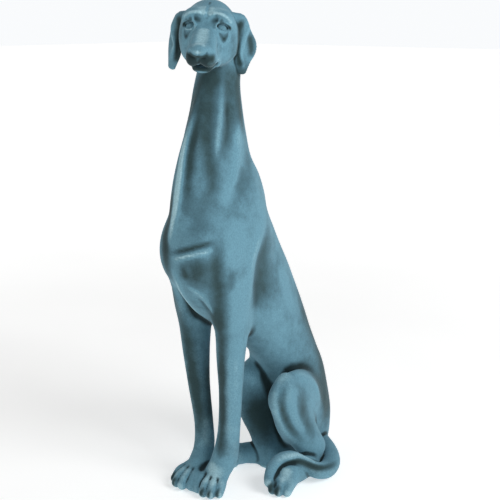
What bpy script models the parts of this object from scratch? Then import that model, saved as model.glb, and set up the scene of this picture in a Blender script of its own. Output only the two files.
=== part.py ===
"""Seated greyhound figurine, cast in one piece and flocked: one closed solid, on its paws and rump.

The figure is blocked in with lofts and ellipsoids, as a sculptor builds up clay, melted into one skin,
carved with strokes along its muscles and features, thinned to a faceted solid and cut flat under its soles.
"""

import bmesh
import bpy
import numpy as np
from mathutils import Matrix, Vector

# The driving dimension, in metres: the sole to the crown.
FIGURE_HEIGHT = 0.75

# Below, every length is a share of that height: hundredths of it, with x to the hound's own left,
# y to its back and z up, from a point on the ground between its paws.
SKIN_VOXEL = 0.42
SOFTER_TORSO = 20
SOFTER_LIMBS = 8
SOFTER_FEATURES = 3
FACETS = 9300

FLOCK_COLOUR = (0.105, 0.235, 0.29, 1.0)
FLOCK_ROUGHNESS = 0.95

# The head turns to the hound's left, dips and tips a little, about the middle of the skull.
HEAD_CENTRE = Vector((0.0, -1.7, 94.4))
HEAD_YAW = 31.0
HEAD_DIP = 15.0
HEAD_TIP = 4.0

# A level of the torso is its height, its middle in x, half its width, its front and its back.
TORSO = [
    (-1.0, 5.0, 4.8, 18.4, 30.2),
    (3.0, 5.0, 5.4, 17.2, 31.6),
    (6.0, 5.0, 5.6, 16.8, 32.1),
    (10.5, 4.9, 5.6, 16.8, 32.2),
    (16.0, 4.4, 5.5, 15.6, 31.5),
    (21.0, 3.9, 5.5, 13.4, 30.5),
    (25.5, 3.2, 5.7, 10.6, 28.7),
    (30.0, 2.4, 5.9, 6.6, 27.2),
    (33.5, 1.8, 6.3, 2.0, 26.2),
    (37.0, 1.2, 6.7, -3.2, 25.1),
    (41.0, 0.7, 6.9, -7.4, 23.5),
    (45.5, 0.3, 6.9, -10.8, 21.5),
    (50.0, 0.0, 6.8, -12.2, 19.0),
    (54.0, 0.0, 6.8, -12.4, 16.6),
    (58.0, 0.0, 6.7, -12.1, 14.3),
    (62.0, 0.0, 6.45, -11.6, 13.2),
    (66.0, 0.0, 6.05, -10.8, 11.4),
    (70.0, 0.0, 5.55, -9.5, 8.7),
    (75.0, 0.0, 4.9, -7.8, 7.3),
    (79.6, -0.3, 4.4, -5.8, 6.6),
    (84.0, -0.6, 4.1, -4.1, 6.2),
    (88.0, -0.4, 4.0, -2.8, 6.0),
    (90.0, -0.4, 3.5, -2.3, 5.3),
    (92.0, -0.4, 2.6, -1.5, 4.0),
    (93.4, -0.4, 1.0, 0.4, 2.2),
]
SHOULDER, SHOULDER_RADII = (4.2, 2.6, 53.0), (3.2, 7.4, 11.0)
BREAST, BREAST_RADII = (3.4, -6.6, 52.0), (3.6, 5.0, 6.5)

# A station of a limb is x, y, z, half its width and half its depth.
FORELEGS = {
    "left": [
        (3.0, 0.8, 60.0, 1.5, 3.4),
        (4.7, -1.4, 53.0, 3.0, 5.8),
        (5.2, -2.4, 46.5, 3.1, 5.4),
        (5.3, -1.7, 41.0, 3.1, 4.9),
        (5.0, -0.6, 35.5, 2.9, 4.2),
        (4.7, -0.6, 29.0, 2.7, 3.3),
        (4.7, -0.6, 21.0, 2.3, 2.7),
        (4.7, -1.1, 13.0, 2.2, 2.6),
        (4.4, -1.9, 7.5, 2.6, 2.9),
        (3.8, -3.4, 4.4, 2.6, 2.4),
    ],
    "right": [
        (-3.0, 0.8, 60.0, 1.5, 3.4),
        (-4.7, -1.4, 53.0, 3.0, 5.8),
        (-5.2, -2.4, 46.5, 3.1, 5.4),
        (-5.3, -1.7, 41.0, 3.1, 4.9),
        (-5.3, -0.7, 35.5, 2.9, 4.2),
        (-5.0, -0.7, 29.0, 2.6, 3.3),
        (-4.1, -0.8, 21.0, 2.1, 2.6),
        (-2.6, -1.0, 13.0, 1.9, 2.2),
        (-1.9, -1.7, 7.5, 2.1, 2.4),
        (-2.2, -3.5, 4.0, 2.2, 2.0),
    ],
}
THIGHS = {
    "left": [
        (7.4, 21.2, 10.6, 3.9, 7.6),
        (9.4, 17.2, 13.8, 3.5, 7.8),
        (10.7, 12.7, 17.6, 3.0, 6.8),
        (11.3, 8.4, 20.4, 2.2, 4.4),
    ],
    "right": [
        (3.0, 23.0, 12.0, 4.2, 8.0),
        (0.8, 18.8, 14.6, 3.6, 9.2),
        (-0.5, 15.2, 17.6, 3.0, 8.4),
        (-1.2, 12.6, 19.8, 2.3, 5.4),
    ],
}
SHINS = {
    "left": [
        (11.2, 9.0, 19.6, 2.2, 3.0),
        (11.6, 11.8, 14.0, 2.5, 3.4),
        (12.3, 15.2, 9.0, 2.5, 3.7),
        (13.1, 17.8, 5.0, 2.4, 3.4),
    ],
    "right": [
        (-1.0, 12.6, 19.8, 2.2, 3.4),
        (-0.4, 15.0, 13.5, 2.9, 4.9),
        (1.4, 15.8, 8.0, 3.5, 5.0),
        (3.9, 15.6, 2.4, 3.8, 4.6),
        (4.4, 15.6, 0.6, 3.8, 4.6),
    ],
}
HIND_FEET = {
    "left": [
        (13.2, 17.4, 2.7, 2.0, 2.2), (14.5, 11.8, 3.0, 2.3, 2.5),
        (14.3, 7.6, 3.0, 2.6, 2.5), (14.4, 5.4, 2.0, 2.3, 1.9),
    ],
    "right": [(2.2, 14.6, 1.4, 2.4, 2.6), (-0.2, 11.6, 2.0, 2.5, 2.4), (-1.6, 9.6, 2.0, 2.5, 1.9)],
}
TAIL = [
    (5.6, 27.0, 4.0, 2.4, 2.6),
    (9.6, 25.6, 3.0, 2.1, 2.2),
    (13.6, 23.0, 2.6, 2.05, 2.1),
    (16.6, 19.8, 2.3, 2.0, 2.0),
    (17.9, 16.2, 2.2, 1.9, 1.9),
    (17.3, 13.2, 2.9, 1.75, 1.75),
    (15.7, 10.8, 4.7, 1.65, 1.65),
    (14.0, 8.8, 6.2, 1.55, 1.55),
    (12.5, 6.8, 6.0, 1.45, 1.45),
    (11.9, 4.9, 4.7, 1.3, 1.3),
    (12.3, 3.3, 3.3, 1.15, 1.15),
    (12.9, 2.3, 2.6, 0.95, 0.95),
]

# A paw is where its root stands, the way it points in degrees to the hound's left, its size, and how far
# out and how far forward each toe ends.
FORE_TOES = ((-2.4, 2.8), (-0.85, 4.1), (0.85, 4.1), (2.3, 3.0))
HIND_TOES = ((-2.35, 3.5), (-0.85, 4.0), (0.85, 4.0), (2.35, 2.9))
OUTER_TOES = ((-1.0, 4.0), (0.7, 4.0), (2.35, 2.9))
PAWS = [
    (3.5, -4.2, 17.0, 1.0, FORE_TOES),
    (-2.6, -4.8, 0.0, 1.0, FORE_TOES),
    (14.4, 6.2, 4.0, 0.9, OUTER_TOES),
    (-1.6, 9.6, -20.0, 0.9, HIND_TOES),
]

# In the head's own axes: its muzzle along -y. CHEEK is on its left, and turned over for its right.
MUZZLE = [(0.1, -3.0, -0.4, 3.3, 3.0), (0.1, -6.5, -1.0, 2.5, 2.6), (0.2, -10.2, -1.4, 2.1, 1.7)]
JAW = [(0.0, -1.5, -3.9, 3.4, 1.6), (0.0, -5.5, -4.4, 2.5, 1.3), (0.1, -8.3, -4.6, 1.9, 0.95)]
CHEEK = [(3.0, -1.0, -3.4, 1.9, 2.2), (2.5, -4.0, -3.3, 1.6, 2.0), (1.9, -7.0, -3.1, 1.2, 1.6)]
EARS = {
    "left": [
        (4.3, 0.6, 2.9, 0.9, 0.9),
        (5.7, 1.0, 2.2, 1.3, 0.8),
        (6.3, 1.1, 0.0, 1.7, 0.7),
        (6.95, 0.9, -3.0, 2.55, 0.65),
        (6.6, 0.5, -5.4, 1.8, 0.65),
        (6.5, 0.2, -7.6, 0.9, 0.6),
    ],
    "right": [
        (-4.4, 0.6, 2.7, 0.9, 0.9),
        (-6.2, 0.9, 1.6, 1.5, 0.8),
        (-6.9, 0.7, -2.0, 1.9, 0.7),
        (-7.1, 0.4, -4.6, 2.0, 0.7),
        (-7.6, 0.0, -7.6, 1.0, 0.6),
    ],
}
EAR_SIDES = {"left": (0.75, 0.65, 0.0), "right": (-0.75, 0.65, 0.0)}

# A stroke is a path on the skin, its width and how far it raises the skin, or presses it in where that is
# below 0. These are on its left, and turned over for its right: folds of the neck, edges of the shoulder.
PAIRED_STROKES = [
    (
        [(2.8, -1.5, 84.9), (3.4, -2.4, 81.0), (4.1, -3.3, 76.9),
         (4.6, -4.8, 70.8), (4.7, -5.5, 66.6)],
        0.9, 0.5,
    ),
    (
        [(3.8, 2.9, 79.3), (4.4, 2.1, 76.5), (5.3, 0.6, 71.8),
         (6.1, -3.3, 63.5), (6.3, -5.7, 59.8)],
        1.1, 0.6,
    ),
    (
        [(1.3, -3.4, 84.5), (2.8, -6.2, 76.1), (2.9, -7.8, 70.5),
         (2.5, -9.0, 64.8), (2.1, -11.2, 59.3)],
        1.2, -0.6,
    ),
    ([(3.6, 0.6, 83.3), (4.5, -0.4, 77.7), (5.1, -2.2, 72.1), (5.3, -3.8, 67.4)], 1.1, -0.45),
    (
        [(6.5, -7.8, 58.0), (7.2, -7.4, 51.1), (6.7, -8.0, 48.0),
         (6.0, -7.1, 43.6), (4.6, -6.1, 38.6)],
        0.9, -0.55,
    ),
    (
        [(6.3, 10.0, 57.3), (7.7, 6.6, 53.7), (8.0, 4.2, 51.0),
         (7.6, 3.0, 43.1), (7.0, 2.6, 35.7)],
        1.0, -0.9,
    ),
]
# The keel, the crease and folds of the chest, and the hollow along the tail.
SINGLE_STROKES = [
    ([(0.4, -7.6, 76.0), (-1.4, -10.2, 66.3), (-1.6, -12.0, 57.2), (-1.5, -12.3, 53.3)], 0.8, 0.6),
    ([(-1.3, -12.0, 52.3), (0.6, -12.0, 52.9), (3.0, -11.9, 54.1), (6.3, -9.3, 55.2)], 0.6, -0.9),
    ([(-1.3, -11.8, 50.0), (-1.5, -10.6, 46.8), (-1.0, -5.2, 39.0), (-0.4, -2.4, 36.0)], 0.8, 0.45),
    (
        [(13.1, 5.9, 6.1), (14.8, 7.9, 6.8), (18.3, 12.3, 4.3),
         (19.2, 15.6, 3.7), (17.7, 19.8, 4.0)],
        0.7, -0.4,
    ),
]
# On the left haunch: its rim, its rear edge, the cleft behind it and the valleys on it. HAUNCH_STEP turns
# a copy over for the right one.
HAUNCH_STROKES = [
    ([(10.4, 6.6, 22.6), (10.9, 5.9, 20.8), (12.2, 7.6, 14.3), (12.8, 11.6, 7.6)], 0.8, 0.45),
    ([(11.4, 9.6, 24.6), (12.6, 14.9, 22.6), (11.9, 21.0, 16.1), (11.4, 22.6, 11.5)], 0.9, 0.5),
    (
        [(10.3, 15.0, 25.2), (10.8, 19.4, 22.4), (10.4, 22.8, 18.4),
         (9.9, 25.0, 13.0), (9.9, 25.2, 8.5)],
        1.0, -0.9,
    ),
    (
        [(11.9, 10.7, 23.6), (12.4, 6.8, 21.1), (13.2, 6.4, 18.4),
         (13.6, 7.6, 14.9), (13.8, 9.4, 11.6)],
        1.0, -0.65,
    ),
    ([(13.1, 8.9, 21.6), (14.0, 8.6, 19.4), (14.3, 11.3, 13.0), (14.4, 13.2, 9.6)], 1.1, 0.5),
    ([(13.7, 12.0, 20.2), (13.7, 15.2, 13.6), (14.2, 16.0, 10.4)], 1.1, -0.65),
]
HAUNCH_STEP = (10.2, 3.6)


def smooth_curve(stations, steps):
    """Rows of a Catmull-Rom curve through the stations, with so many steps from each to the next."""
    rows = np.asarray(stations, float)
    rows = np.vstack([2 * rows[0] - rows[1], rows, 2 * rows[-1] - rows[-2]])
    before, first, second, after = rows[:-3], rows[1:-2], rows[2:-1], rows[3:]
    curve = []
    for share in np.arange(steps) / steps:
        curve.append(
            first
            + 0.5 * share * (second - before)
            + 0.5 * share**2 * (2 * before - 5 * first + 4 * second - after)
            + 0.5 * share**3 * (3 * first - before - 3 * second + after)
        )
    return np.vstack([np.stack(curve, axis=1).reshape(-1, rows.shape[1]), rows[-2]])


def add_limb(bm, stations, side=(1.0, 0.0, 0.0), place=Matrix.Identity(4), steps=4, sides=20):
    """A tapered limb: an ellipse carried along the smooth curve through the stations, domed at both ends."""
    curve = smooth_curve(stations, steps)
    centres, halves = curve[:, :3], curve[:, 3:]
    tangents = np.gradient(centres, axis=0)
    tangents /= np.linalg.norm(tangents, axis=1, keepdims=True)
    across = np.cross(tangents, side)
    across /= np.linalg.norm(across, axis=1, keepdims=True)
    along = np.cross(across, tangents)
    dome = np.radians([80.0, 55.0, 28.0])
    sections = [(0, -np.sin(a), np.cos(a)) for a in dome]
    sections += [(index, 0.0, 1.0) for index in range(len(curve))]
    sections += [(len(curve) - 1, np.sin(a), np.cos(a)) for a in dome[::-1]]
    turn = np.linspace(0.0, 2 * np.pi, sides, endpoint=False)[:, None]
    rings = []
    for index, out, size in sections:
        half = halves[index] * size
        centre = centres[index] + tangents[index] * out * halves[index].min()
        ring = centre + np.cos(turn) * half[0] * along[index] + np.sin(turn) * half[1] * across[index]
        rings.append([bm.verts.new(place @ Vector(point)) for point in ring])
    for first, second in zip(rings, rings[1:]):
        for k in range(sides):
            bm.faces.new((first[k - 1], first[k], second[k], second[k - 1]))
    bm.faces.new(rings[0][::-1])
    bm.faces.new(rings[-1])


def add_ball(bm, centre, radii, place=Matrix.Identity(4)):
    """An ellipsoid with its radii along x, y and z of its place."""
    matrix = place @ Matrix.Translation(centre) @ Matrix.Diagonal((*radii, 1.0))
    bmesh.ops.create_uvsphere(bm, u_segments=24, v_segments=16, radius=1.0, matrix=matrix)


def head_place():
    """The head's own axes, in the figure's."""
    yaw = Matrix.Rotation(np.radians(HEAD_YAW), 4, "Z")
    dip = Matrix.Rotation(np.radians(HEAD_DIP), 4, "X")
    tip = Matrix.Rotation(np.radians(HEAD_TIP), 4, "Y")
    return Matrix.Translation(HEAD_CENTRE) @ yaw @ dip @ tip


def add_torso(bm, sides=36):
    """Trunk and neck, an ellipse at every height, with the shoulders and the breast that flow into them."""
    turn = np.linspace(0.0, 2 * np.pi, sides, endpoint=False)
    rings = []
    for z, x, wide, front, back in smooth_curve(TORSO, 5):
        across = x + wide * np.cos(turn)
        along = (front + back) / 2 + (back - front) / 2 * np.sin(turn)
        rings.append([bm.verts.new((u, v, z)) for u, v in zip(across, along)])
    for first, second in zip(rings, rings[1:]):
        for k in range(sides):
            bm.faces.new((first[k - 1], first[k], second[k], second[k - 1]))
    bm.faces.new(rings[0][::-1])
    bm.faces.new(rings[-1])
    for hand in (1, -1):
        add_ball(bm, (hand * SHOULDER[0], *SHOULDER[1:]), SHOULDER_RADII)
        add_ball(bm, (hand * BREAST[0], *BREAST[1:]), BREAST_RADII)


def add_limbs(bm):
    """Forelegs, thighs, shins, hind feet and tail."""
    for leg in ("left", "right"):
        add_limb(bm, FORELEGS[leg])
        add_limb(bm, THIGHS[leg])
        add_limb(bm, SHINS[leg])
        add_limb(bm, HIND_FEET[leg])
    add_limb(bm, TAIL)


def add_paw(bm, x, y, aim, size, toes):
    """A low pad with its toes side by side."""
    place = Matrix.Translation((x, y, 0.0)) @ Matrix.Rotation(np.radians(aim), 4, "Z") @ Matrix.Scale(size, 4)
    add_ball(bm, (0.0, -0.4, 1.7), (2.6, 2.9, 1.9), place)
    for out, forward in toes:
        toe = [
            (out * 0.65, 0.2, 3.1, 1.0, 1.3),
            (out * 0.95, 1.5 - forward, 2.45, 1.0, 1.3),
            (out, -forward, 1.2, 0.92, 1.15),
        ]
        add_limb(bm, toe, place=place, sides=14)


def add_head(bm):
    """Skull, cheeks, brows, muzzle, lips, jaw, nose and ears."""
    place = head_place()
    add_ball(bm, (-0.3, 0.8, 0.4), (5.2, 6.2, 5.3), place)
    add_limb(bm, MUZZLE, place=place)
    add_limb(bm, JAW, place=place)
    add_ball(bm, (0.2, -11.0, -0.35), (1.85, 1.25, 1.05), place)
    for hand in (1, -1):
        add_ball(bm, (hand * 2.9, -0.9, -1.4), (2.8, 4.4, 4.7), place)
        add_ball(bm, (hand * 2.1, -2.7, 3.2), (2.6, 1.9, 1.7), place)
        add_ball(bm, (0.15 + hand * 1.45, -8.7, -2.3), (1.55, 2.9, 1.75), place)
        add_limb(bm, [(hand * x, *rest) for x, *rest in CHEEK], place=place)
    for hand in ("left", "right"):
        add_limb(bm, EARS[hand], side=EAR_SIDES[hand], place=place)


def melted(bm, smoothing):
    """The overlapping bodies of bm as one skin, with its joints softened."""
    blocks = bpy.data.meshes.new("blocks")
    bm.to_mesh(blocks)
    bm.free()
    figure = bpy.data.objects.new("blocks", blocks)
    bpy.context.scene.collection.objects.link(figure)
    skin = figure.modifiers.new("One skin", "REMESH")
    skin.mode = "VOXEL"
    skin.voxel_size = SKIN_VOXEL
    soft = figure.modifiers.new("Soft joints", "SMOOTH")
    soft.factor = 0.5
    soft.iterations = smoothing
    evaluated = figure.evaluated_get(bpy.context.evaluated_depsgraph_get())
    mesh = bpy.data.meshes.new_from_object(evaluated)
    bpy.data.objects.remove(figure)
    bpy.data.meshes.remove(blocks)
    return mesh


def coordinates(mesh):
    """The mesh's points and their normals, one row each."""
    points = np.empty(len(mesh.vertices) * 3, np.float32)
    normals = np.empty(len(mesh.vertices) * 3, np.float32)
    mesh.vertices.foreach_get("co", points)
    mesh.vertices.foreach_get("normal", normals)
    return points.reshape(-1, 3).astype(float), normals.reshape(-1, 3).astype(float)


def stroke_on(points, path, width, height):
    """How far a stroke raises each point: a bell across its path that fades out over its end quarters."""
    line = smooth_curve(path, 5)
    nearest = np.full(len(points), np.inf)
    along = np.zeros(len(points))
    for index, (start, end) in enumerate(zip(line, line[1:])):
        run = end - start
        share = np.clip((points - start) @ run / (run @ run), 0.0, 1.0)
        gap = np.linalg.norm(points - start - share[:, None] * run, axis=1)
        nearer = gap < nearest
        nearest[nearer], along[nearer] = gap[nearer], (index + share[nearer]) / (len(line) - 1)
    fade = np.clip(4 * along, 0.0, 1.0) * np.clip(4 * (1 - along), 0.0, 1.0)
    return height * fade * np.exp(-((nearest / width) ** 2))


def body_strokes():
    """The strokes of the body with their turned-over copies."""
    strokes = list(SINGLE_STROKES)
    for path, width, height in PAIRED_STROKES:
        strokes += [([(hand * x, y, z) for x, y, z in path], width, height) for hand in (1, -1)]
    for path, width, height in HAUNCH_STROKES:
        over = [(HAUNCH_STEP[0] - x, y + HAUNCH_STEP[1], z) for x, y, z in path]
        strokes += [(path, width, height), (over, width, height)]
    return strokes


def head_strokes():
    """The strokes of the face, in the head's own axes, both sides."""
    strokes = [
        ([(0.1, -0.8, 5.6), (0.2, -2.9, 5.3), (0.2, -4.2, 4.4), (0.15, -4.65, 3.55)], 0.45, -0.35),
        ([(0.0, -5.0, 3.1), (0.1, -5.1, 2.9), (0.1, -5.2, 2.7)], 1.2, -0.4),
        ([(-1.4, -10.2, -3.9), (0.0, -11.0, -3.6), (1.4, -10.2, -3.9)], 0.5, -0.6),
    ]
    for hand in (1, -1):
        paired = [
            ([(2.4, -5.2, 2.2), (3.4, -4.9, 2.3), (4.5, -3.9, 2.1)], 0.9, -0.8),
            ([(3.0, -4.9, 2.2), (3.5, -4.7, 2.2), (3.9, -4.4, 2.2)], 0.6, 0.9),
            ([(1.5, -4.9, 3.9), (1.9, -4.7, 3.75), (2.3, -4.6, 3.5)], 0.8, -0.5),
            (
                [(0.6, -4.1, 4.65), (1.8, -4.3, 4.85), (2.9, -4.2, 4.6),
                 (3.75, -4.0, 4.1), (4.6, -3.5, 3.2)],
                0.5, 0.45,
            ),
            ([(0.0, -10.3, -3.4), (1.5, -9.6, -4.2), (2.2, -8.0, -4.5), (2.6, -6.2, -4.8)], 0.45, -0.5),
            ([(2.6, -5.0, -6.3), (4.5, -3.3, -5.4), (5.2, -1.6, -4.8), (5.4, 0.2, -4.4)], 0.7, -0.5),
        ]
        strokes += [([(hand * x, y, z) for x, y, z in path], width, height) for path, width, height in paired]
    return strokes


def carve(mesh, strokes, place=Matrix.Identity(4)):
    """Raises or presses the skin along each stroke."""
    points, normals = coordinates(mesh)
    inverse = np.array(place.inverted())
    local = points @ inverse[:3, :3].T + inverse[:3, 3]
    rise = sum(stroke_on(local, path, width, height) for path, width, height in strokes)
    mesh.vertices.foreach_set("co", (points + rise[:, None] * normals).ravel())


def thinned(mesh):
    """The skin with about FACETS triangles, most of them where it bends."""
    figure = bpy.data.objects.new("skin", mesh)
    bpy.context.scene.collection.objects.link(figure)
    thin = figure.modifiers.new("Facets", "DECIMATE")
    thin.ratio = FACETS / sum(len(face.vertices) - 2 for face in mesh.polygons)
    thin.use_collapse_triangulate = True
    evaluated = figure.evaluated_get(bpy.context.evaluated_depsgraph_get())
    result = bpy.data.meshes.new_from_object(evaluated)
    bpy.data.objects.remove(figure)
    return result


def stood(mesh):
    """The solid cut flat at the ground, scaled to its height, with its origin under the middle of its box."""
    bm = bmesh.new()
    bm.from_mesh(mesh)
    everything = bm.verts[:] + bm.edges[:] + bm.faces[:]
    cut = bmesh.ops.bisect_plane(
        bm, geom=everything, plane_co=(0, 0, 0), plane_no=(0, 0, -1), clear_outer=True
    )
    rim = [item for item in cut["geom_cut"] if isinstance(item, bmesh.types.BMEdge)]
    bmesh.ops.edgeloop_fill(bm, edges=rim)
    bmesh.ops.triangulate(bm, faces=bm.faces[:])
    bmesh.ops.recalc_face_normals(bm, faces=bm.faces[:])
    low = Vector([min(vertex.co[axis] for vertex in bm.verts) for axis in range(3)])
    high = Vector([max(vertex.co[axis] for vertex in bm.verts) for axis in range(3)])
    middle = Vector(((low.x + high.x) / 2, (low.y + high.y) / 2, low.z))
    size = FIGURE_HEIGHT / (high.z - low.z)
    bmesh.ops.transform(bm, matrix=Matrix.Scale(size, 4) @ Matrix.Translation(-middle), verts=bm.verts[:])
    solid = bpy.data.meshes.new("greyhound_figure")
    bm.to_mesh(solid)
    bm.free()
    return solid


def flock():
    """Blue-green flock."""
    material = bpy.data.materials.new("flock")
    material.use_nodes = True
    shader = material.node_tree.nodes["Principled BSDF"]
    shader.inputs["Base Color"].default_value = FLOCK_COLOUR
    shader.inputs["Roughness"].default_value = FLOCK_ROUGHNESS
    shader.inputs["Metallic"].default_value = 0.0
    return material


def main():
    for leftover in list(bpy.data.objects):
        bpy.data.objects.remove(leftover)
    torso = bmesh.new()
    add_torso(torso)
    limbs = bmesh.new()
    limbs.from_mesh(melted(torso, SOFTER_TORSO))
    add_limbs(limbs)
    body = melted(limbs, SOFTER_LIMBS)
    carve(body, body_strokes())
    features = bmesh.new()
    features.from_mesh(body)
    add_head(features)
    for paw in PAWS:
        add_paw(features, *paw)
    skin = melted(features, SOFTER_FEATURES)
    carve(skin, head_strokes(), head_place())
    solid = stood(thinned(skin))
    solid.shade_smooth()
    solid.set_sharp_from_angle(angle=np.radians(50.0))
    solid.materials.append(flock())
    figure = bpy.data.objects.new("greyhound_figure", solid)
    bpy.context.scene.collection.objects.link(figure)


main()
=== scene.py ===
"""A flocked greyhound figurine that sits by its own weight: one carved figure on a plain stage."""

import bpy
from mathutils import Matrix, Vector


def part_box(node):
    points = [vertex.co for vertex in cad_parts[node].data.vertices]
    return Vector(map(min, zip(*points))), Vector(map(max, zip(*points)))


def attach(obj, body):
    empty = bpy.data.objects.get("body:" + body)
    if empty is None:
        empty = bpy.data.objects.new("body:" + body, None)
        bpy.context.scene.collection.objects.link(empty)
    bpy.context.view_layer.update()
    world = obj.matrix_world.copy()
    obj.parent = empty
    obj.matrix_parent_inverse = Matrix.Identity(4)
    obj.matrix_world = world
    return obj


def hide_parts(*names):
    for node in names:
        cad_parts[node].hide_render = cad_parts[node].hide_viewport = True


bl_info = {
    "name": "Flocked Greyhound Figurine",
    "version": (1, 0, 0),
    "blender": (4, 5, 0),
    "location": "View3D > Sidebar > Hound",
    "description": "Builds a seated hound with a teal flocked coat over the packed model",
    "category": "Object",
}

import bpy
import numpy as np
from mathutils import Vector

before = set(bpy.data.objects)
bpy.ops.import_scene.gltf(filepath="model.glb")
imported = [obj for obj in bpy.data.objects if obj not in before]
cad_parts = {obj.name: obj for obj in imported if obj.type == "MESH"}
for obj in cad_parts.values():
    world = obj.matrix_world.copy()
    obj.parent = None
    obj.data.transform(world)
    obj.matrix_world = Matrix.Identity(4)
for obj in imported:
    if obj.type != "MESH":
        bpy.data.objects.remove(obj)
FIGURE_NODE = "greyhound_figure"
LOWEST, HIGHEST = (np.array(corner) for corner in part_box(FIGURE_NODE))
FIGURE_HEIGHT = float(HIGHEST[2] - LOWEST[2])

# The form is laid out in hundredths of the figure's height: x to its left, y to its back, z up. A station is
# x, y, z, half width, half depth. Places on the head are in its own axes, from HEAD_CENTRE. In a table of
# two sides, 1 is the left one and -1 the right.

HEAD_CENTRE = np.array([0.0, -1.7, 94.4])
HEAD_TURN = (31.0, 15.0, 4.0)
# A level of the torso is its height, its middle in x, half its width, its front and its back.
TORSO = [
    (0, 5, 5, 18.2, 30.6), (3, 5, 5.4, 17.2, 31.6), (6, 5, 5.6, 16.8, 32.1), (10.5, 4.9, 5.6, 16.8, 32.2),
    (16, 4.4, 5.5, 15.6, 31.5), (21, 3.9, 5.5, 13.4, 30.5), (25.5, 3.2, 5.7, 10.6, 28.7),
    (30, 2.4, 5.9, 6.6, 27.2), (33.5, 1.8, 6.3, 2, 26.2), (37, 1.2, 6.7, -3.2, 25.1),
    (41, 0.7, 6.9, -7.4, 23.5), (45.5, 0.3, 6.9, -10.8, 21.5), (50, 0, 6.8, -12.2, 19),
    (54, 0, 6.8, -12.4, 16.6), (58, 0, 6.7, -12.1, 14.3), (62, 0, 6.45, -11.6, 13.2),
    (66, 0, 6.05, -10.8, 11.4), (70, 0, 5.55, -9.5, 8.7), (75, 0, 4.9, -7.8, 7.3),
    (79.6, -0.3, 4.4, -5.8, 6.6), (84, -0.6, 4.1, -4.1, 6.2), (88, -0.4, 4, -2.8, 6),
    (90, -0.4, 3.5, -2.3, 5.3), (92, -0.4, 2.6, -1.5, 4), (93.4, -0.4, 1, 0.4, 2.2),
]
# Limbs, as stations from their upper ends.
FORELEGS = {
    1: [(3, 0.8, 60, 1.5, 3.4), (4.7, -1.4, 53, 3, 5.8), (5.2, -2.4, 46.5, 3.1, 5.4),
        (5.3, -1.7, 41, 3.1, 4.9), (5, -0.6, 35.5, 2.9, 4.2), (4.7, -0.6, 29, 2.7, 3.3),
        (4.7, -0.6, 21, 2.3, 2.7), (4.7, -1.1, 13, 2.2, 2.6), (4.4, -1.9, 7.5, 2.6, 2.9),
        (3.8, -3.4, 4.4, 2.6, 2.4)],
    -1: [(-3, 0.8, 60, 1.5, 3.4), (-4.7, -1.4, 53, 3, 5.8), (-5.2, -2.4, 46.5, 3.1, 5.4),
         (-5.3, -1.7, 41, 3.1, 4.9), (-5.3, -0.7, 35.5, 2.9, 4.2), (-5, -0.7, 29, 2.6, 3.3),
         (-4.1, -0.8, 21, 2.1, 2.6), (-2.6, -1, 13, 1.9, 2.2), (-1.9, -1.7, 7.5, 2.1, 2.4),
         (-2.2, -3.5, 4, 2.2, 2)],
}
THIGHS = {
    1: [(7.4, 21.2, 10.6, 3.9, 7.6), (9.4, 17.2, 13.8, 3.5, 7.8), (10.7, 12.7, 17.6, 3, 6.8),
        (11.3, 8.4, 20.4, 2.2, 4.4)],
    -1: [(3, 23, 12, 4.2, 8), (0.8, 18.8, 14.6, 3.6, 9.2), (-0.5, 15.2, 17.6, 3, 8.4),
         (-1.2, 12.6, 19.8, 2.3, 5.4)],
}
SHINS = {
    1: [(11.2, 9, 19.6, 2.2, 3), (11.6, 11.8, 14, 2.5, 3.4), (12.3, 15.2, 9, 2.5, 3.7),
        (13.1, 17.8, 5, 2.4, 3.4)],
    -1: [(-1, 12.6, 19.8, 2.2, 3.4), (-0.4, 15, 13.5, 2.9, 4.9), (1.4, 15.8, 8, 3.5, 5),
         (3.9, 15.6, 2.4, 3.8, 4.6), (4.4, 15.6, 0.6, 3.8, 4.6)],
}
FEET = {
    1: [(13.2, 17.4, 2.7, 2, 2.2), (14.5, 11.8, 3, 2.3, 2.5), (14.3, 7.6, 3, 2.6, 2.5),
        (14.4, 5.4, 2, 2.3, 1.9)],
    -1: [(2.2, 14.6, 1.4, 2.4, 2.6), (-0.2, 11.6, 2, 2.5, 2.4), (-1.6, 9.6, 2, 2.5, 1.9)],
}
TAIL = [
    (5.6, 27, 4, 2.4, 2.6), (9.6, 25.6, 3, 2.1, 2.2), (13.6, 23, 2.6, 2.05, 2.1), (16.6, 19.8, 2.3, 2, 2),
    (17.9, 16.2, 2.2, 1.9, 1.9), (17.3, 13.2, 2.9, 1.75, 1.75), (15.7, 10.8, 4.7, 1.65, 1.65),
    (14, 8.8, 6.2, 1.55, 1.55), (12.5, 6.8, 6, 1.45, 1.45), (11.9, 4.9, 4.7, 1.3, 1.3),
    (12.3, 3.3, 3.3, 1.15, 1.15), (12.9, 2.3, 2.6, 0.95, 0.95),
]
# A paw is its base in x and y, its turn in degrees, and its toes' offsets and reaches.
FOREPAW_TOES = (-2.4, -0.85, 0.85, 2.3), (2.8, 4.1, 4.1, 3)
FOREPAWS = {1: ((3.5, -4.2), 17, *FOREPAW_TOES), -1: ((-2.6, -4.8), 0, *FOREPAW_TOES)}
HIND_PAWS = {
    1: ((14.4, 6.2), 4, (-0.9, 0.65, 2.1), (3.6, 3.6, 2.6)),
    -1: ((-1.6, 9.6), -20, (-2.1, -0.75, 0.75, 2.1), (3.2, 3.6, 3.6, 2.6)),
}
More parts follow.
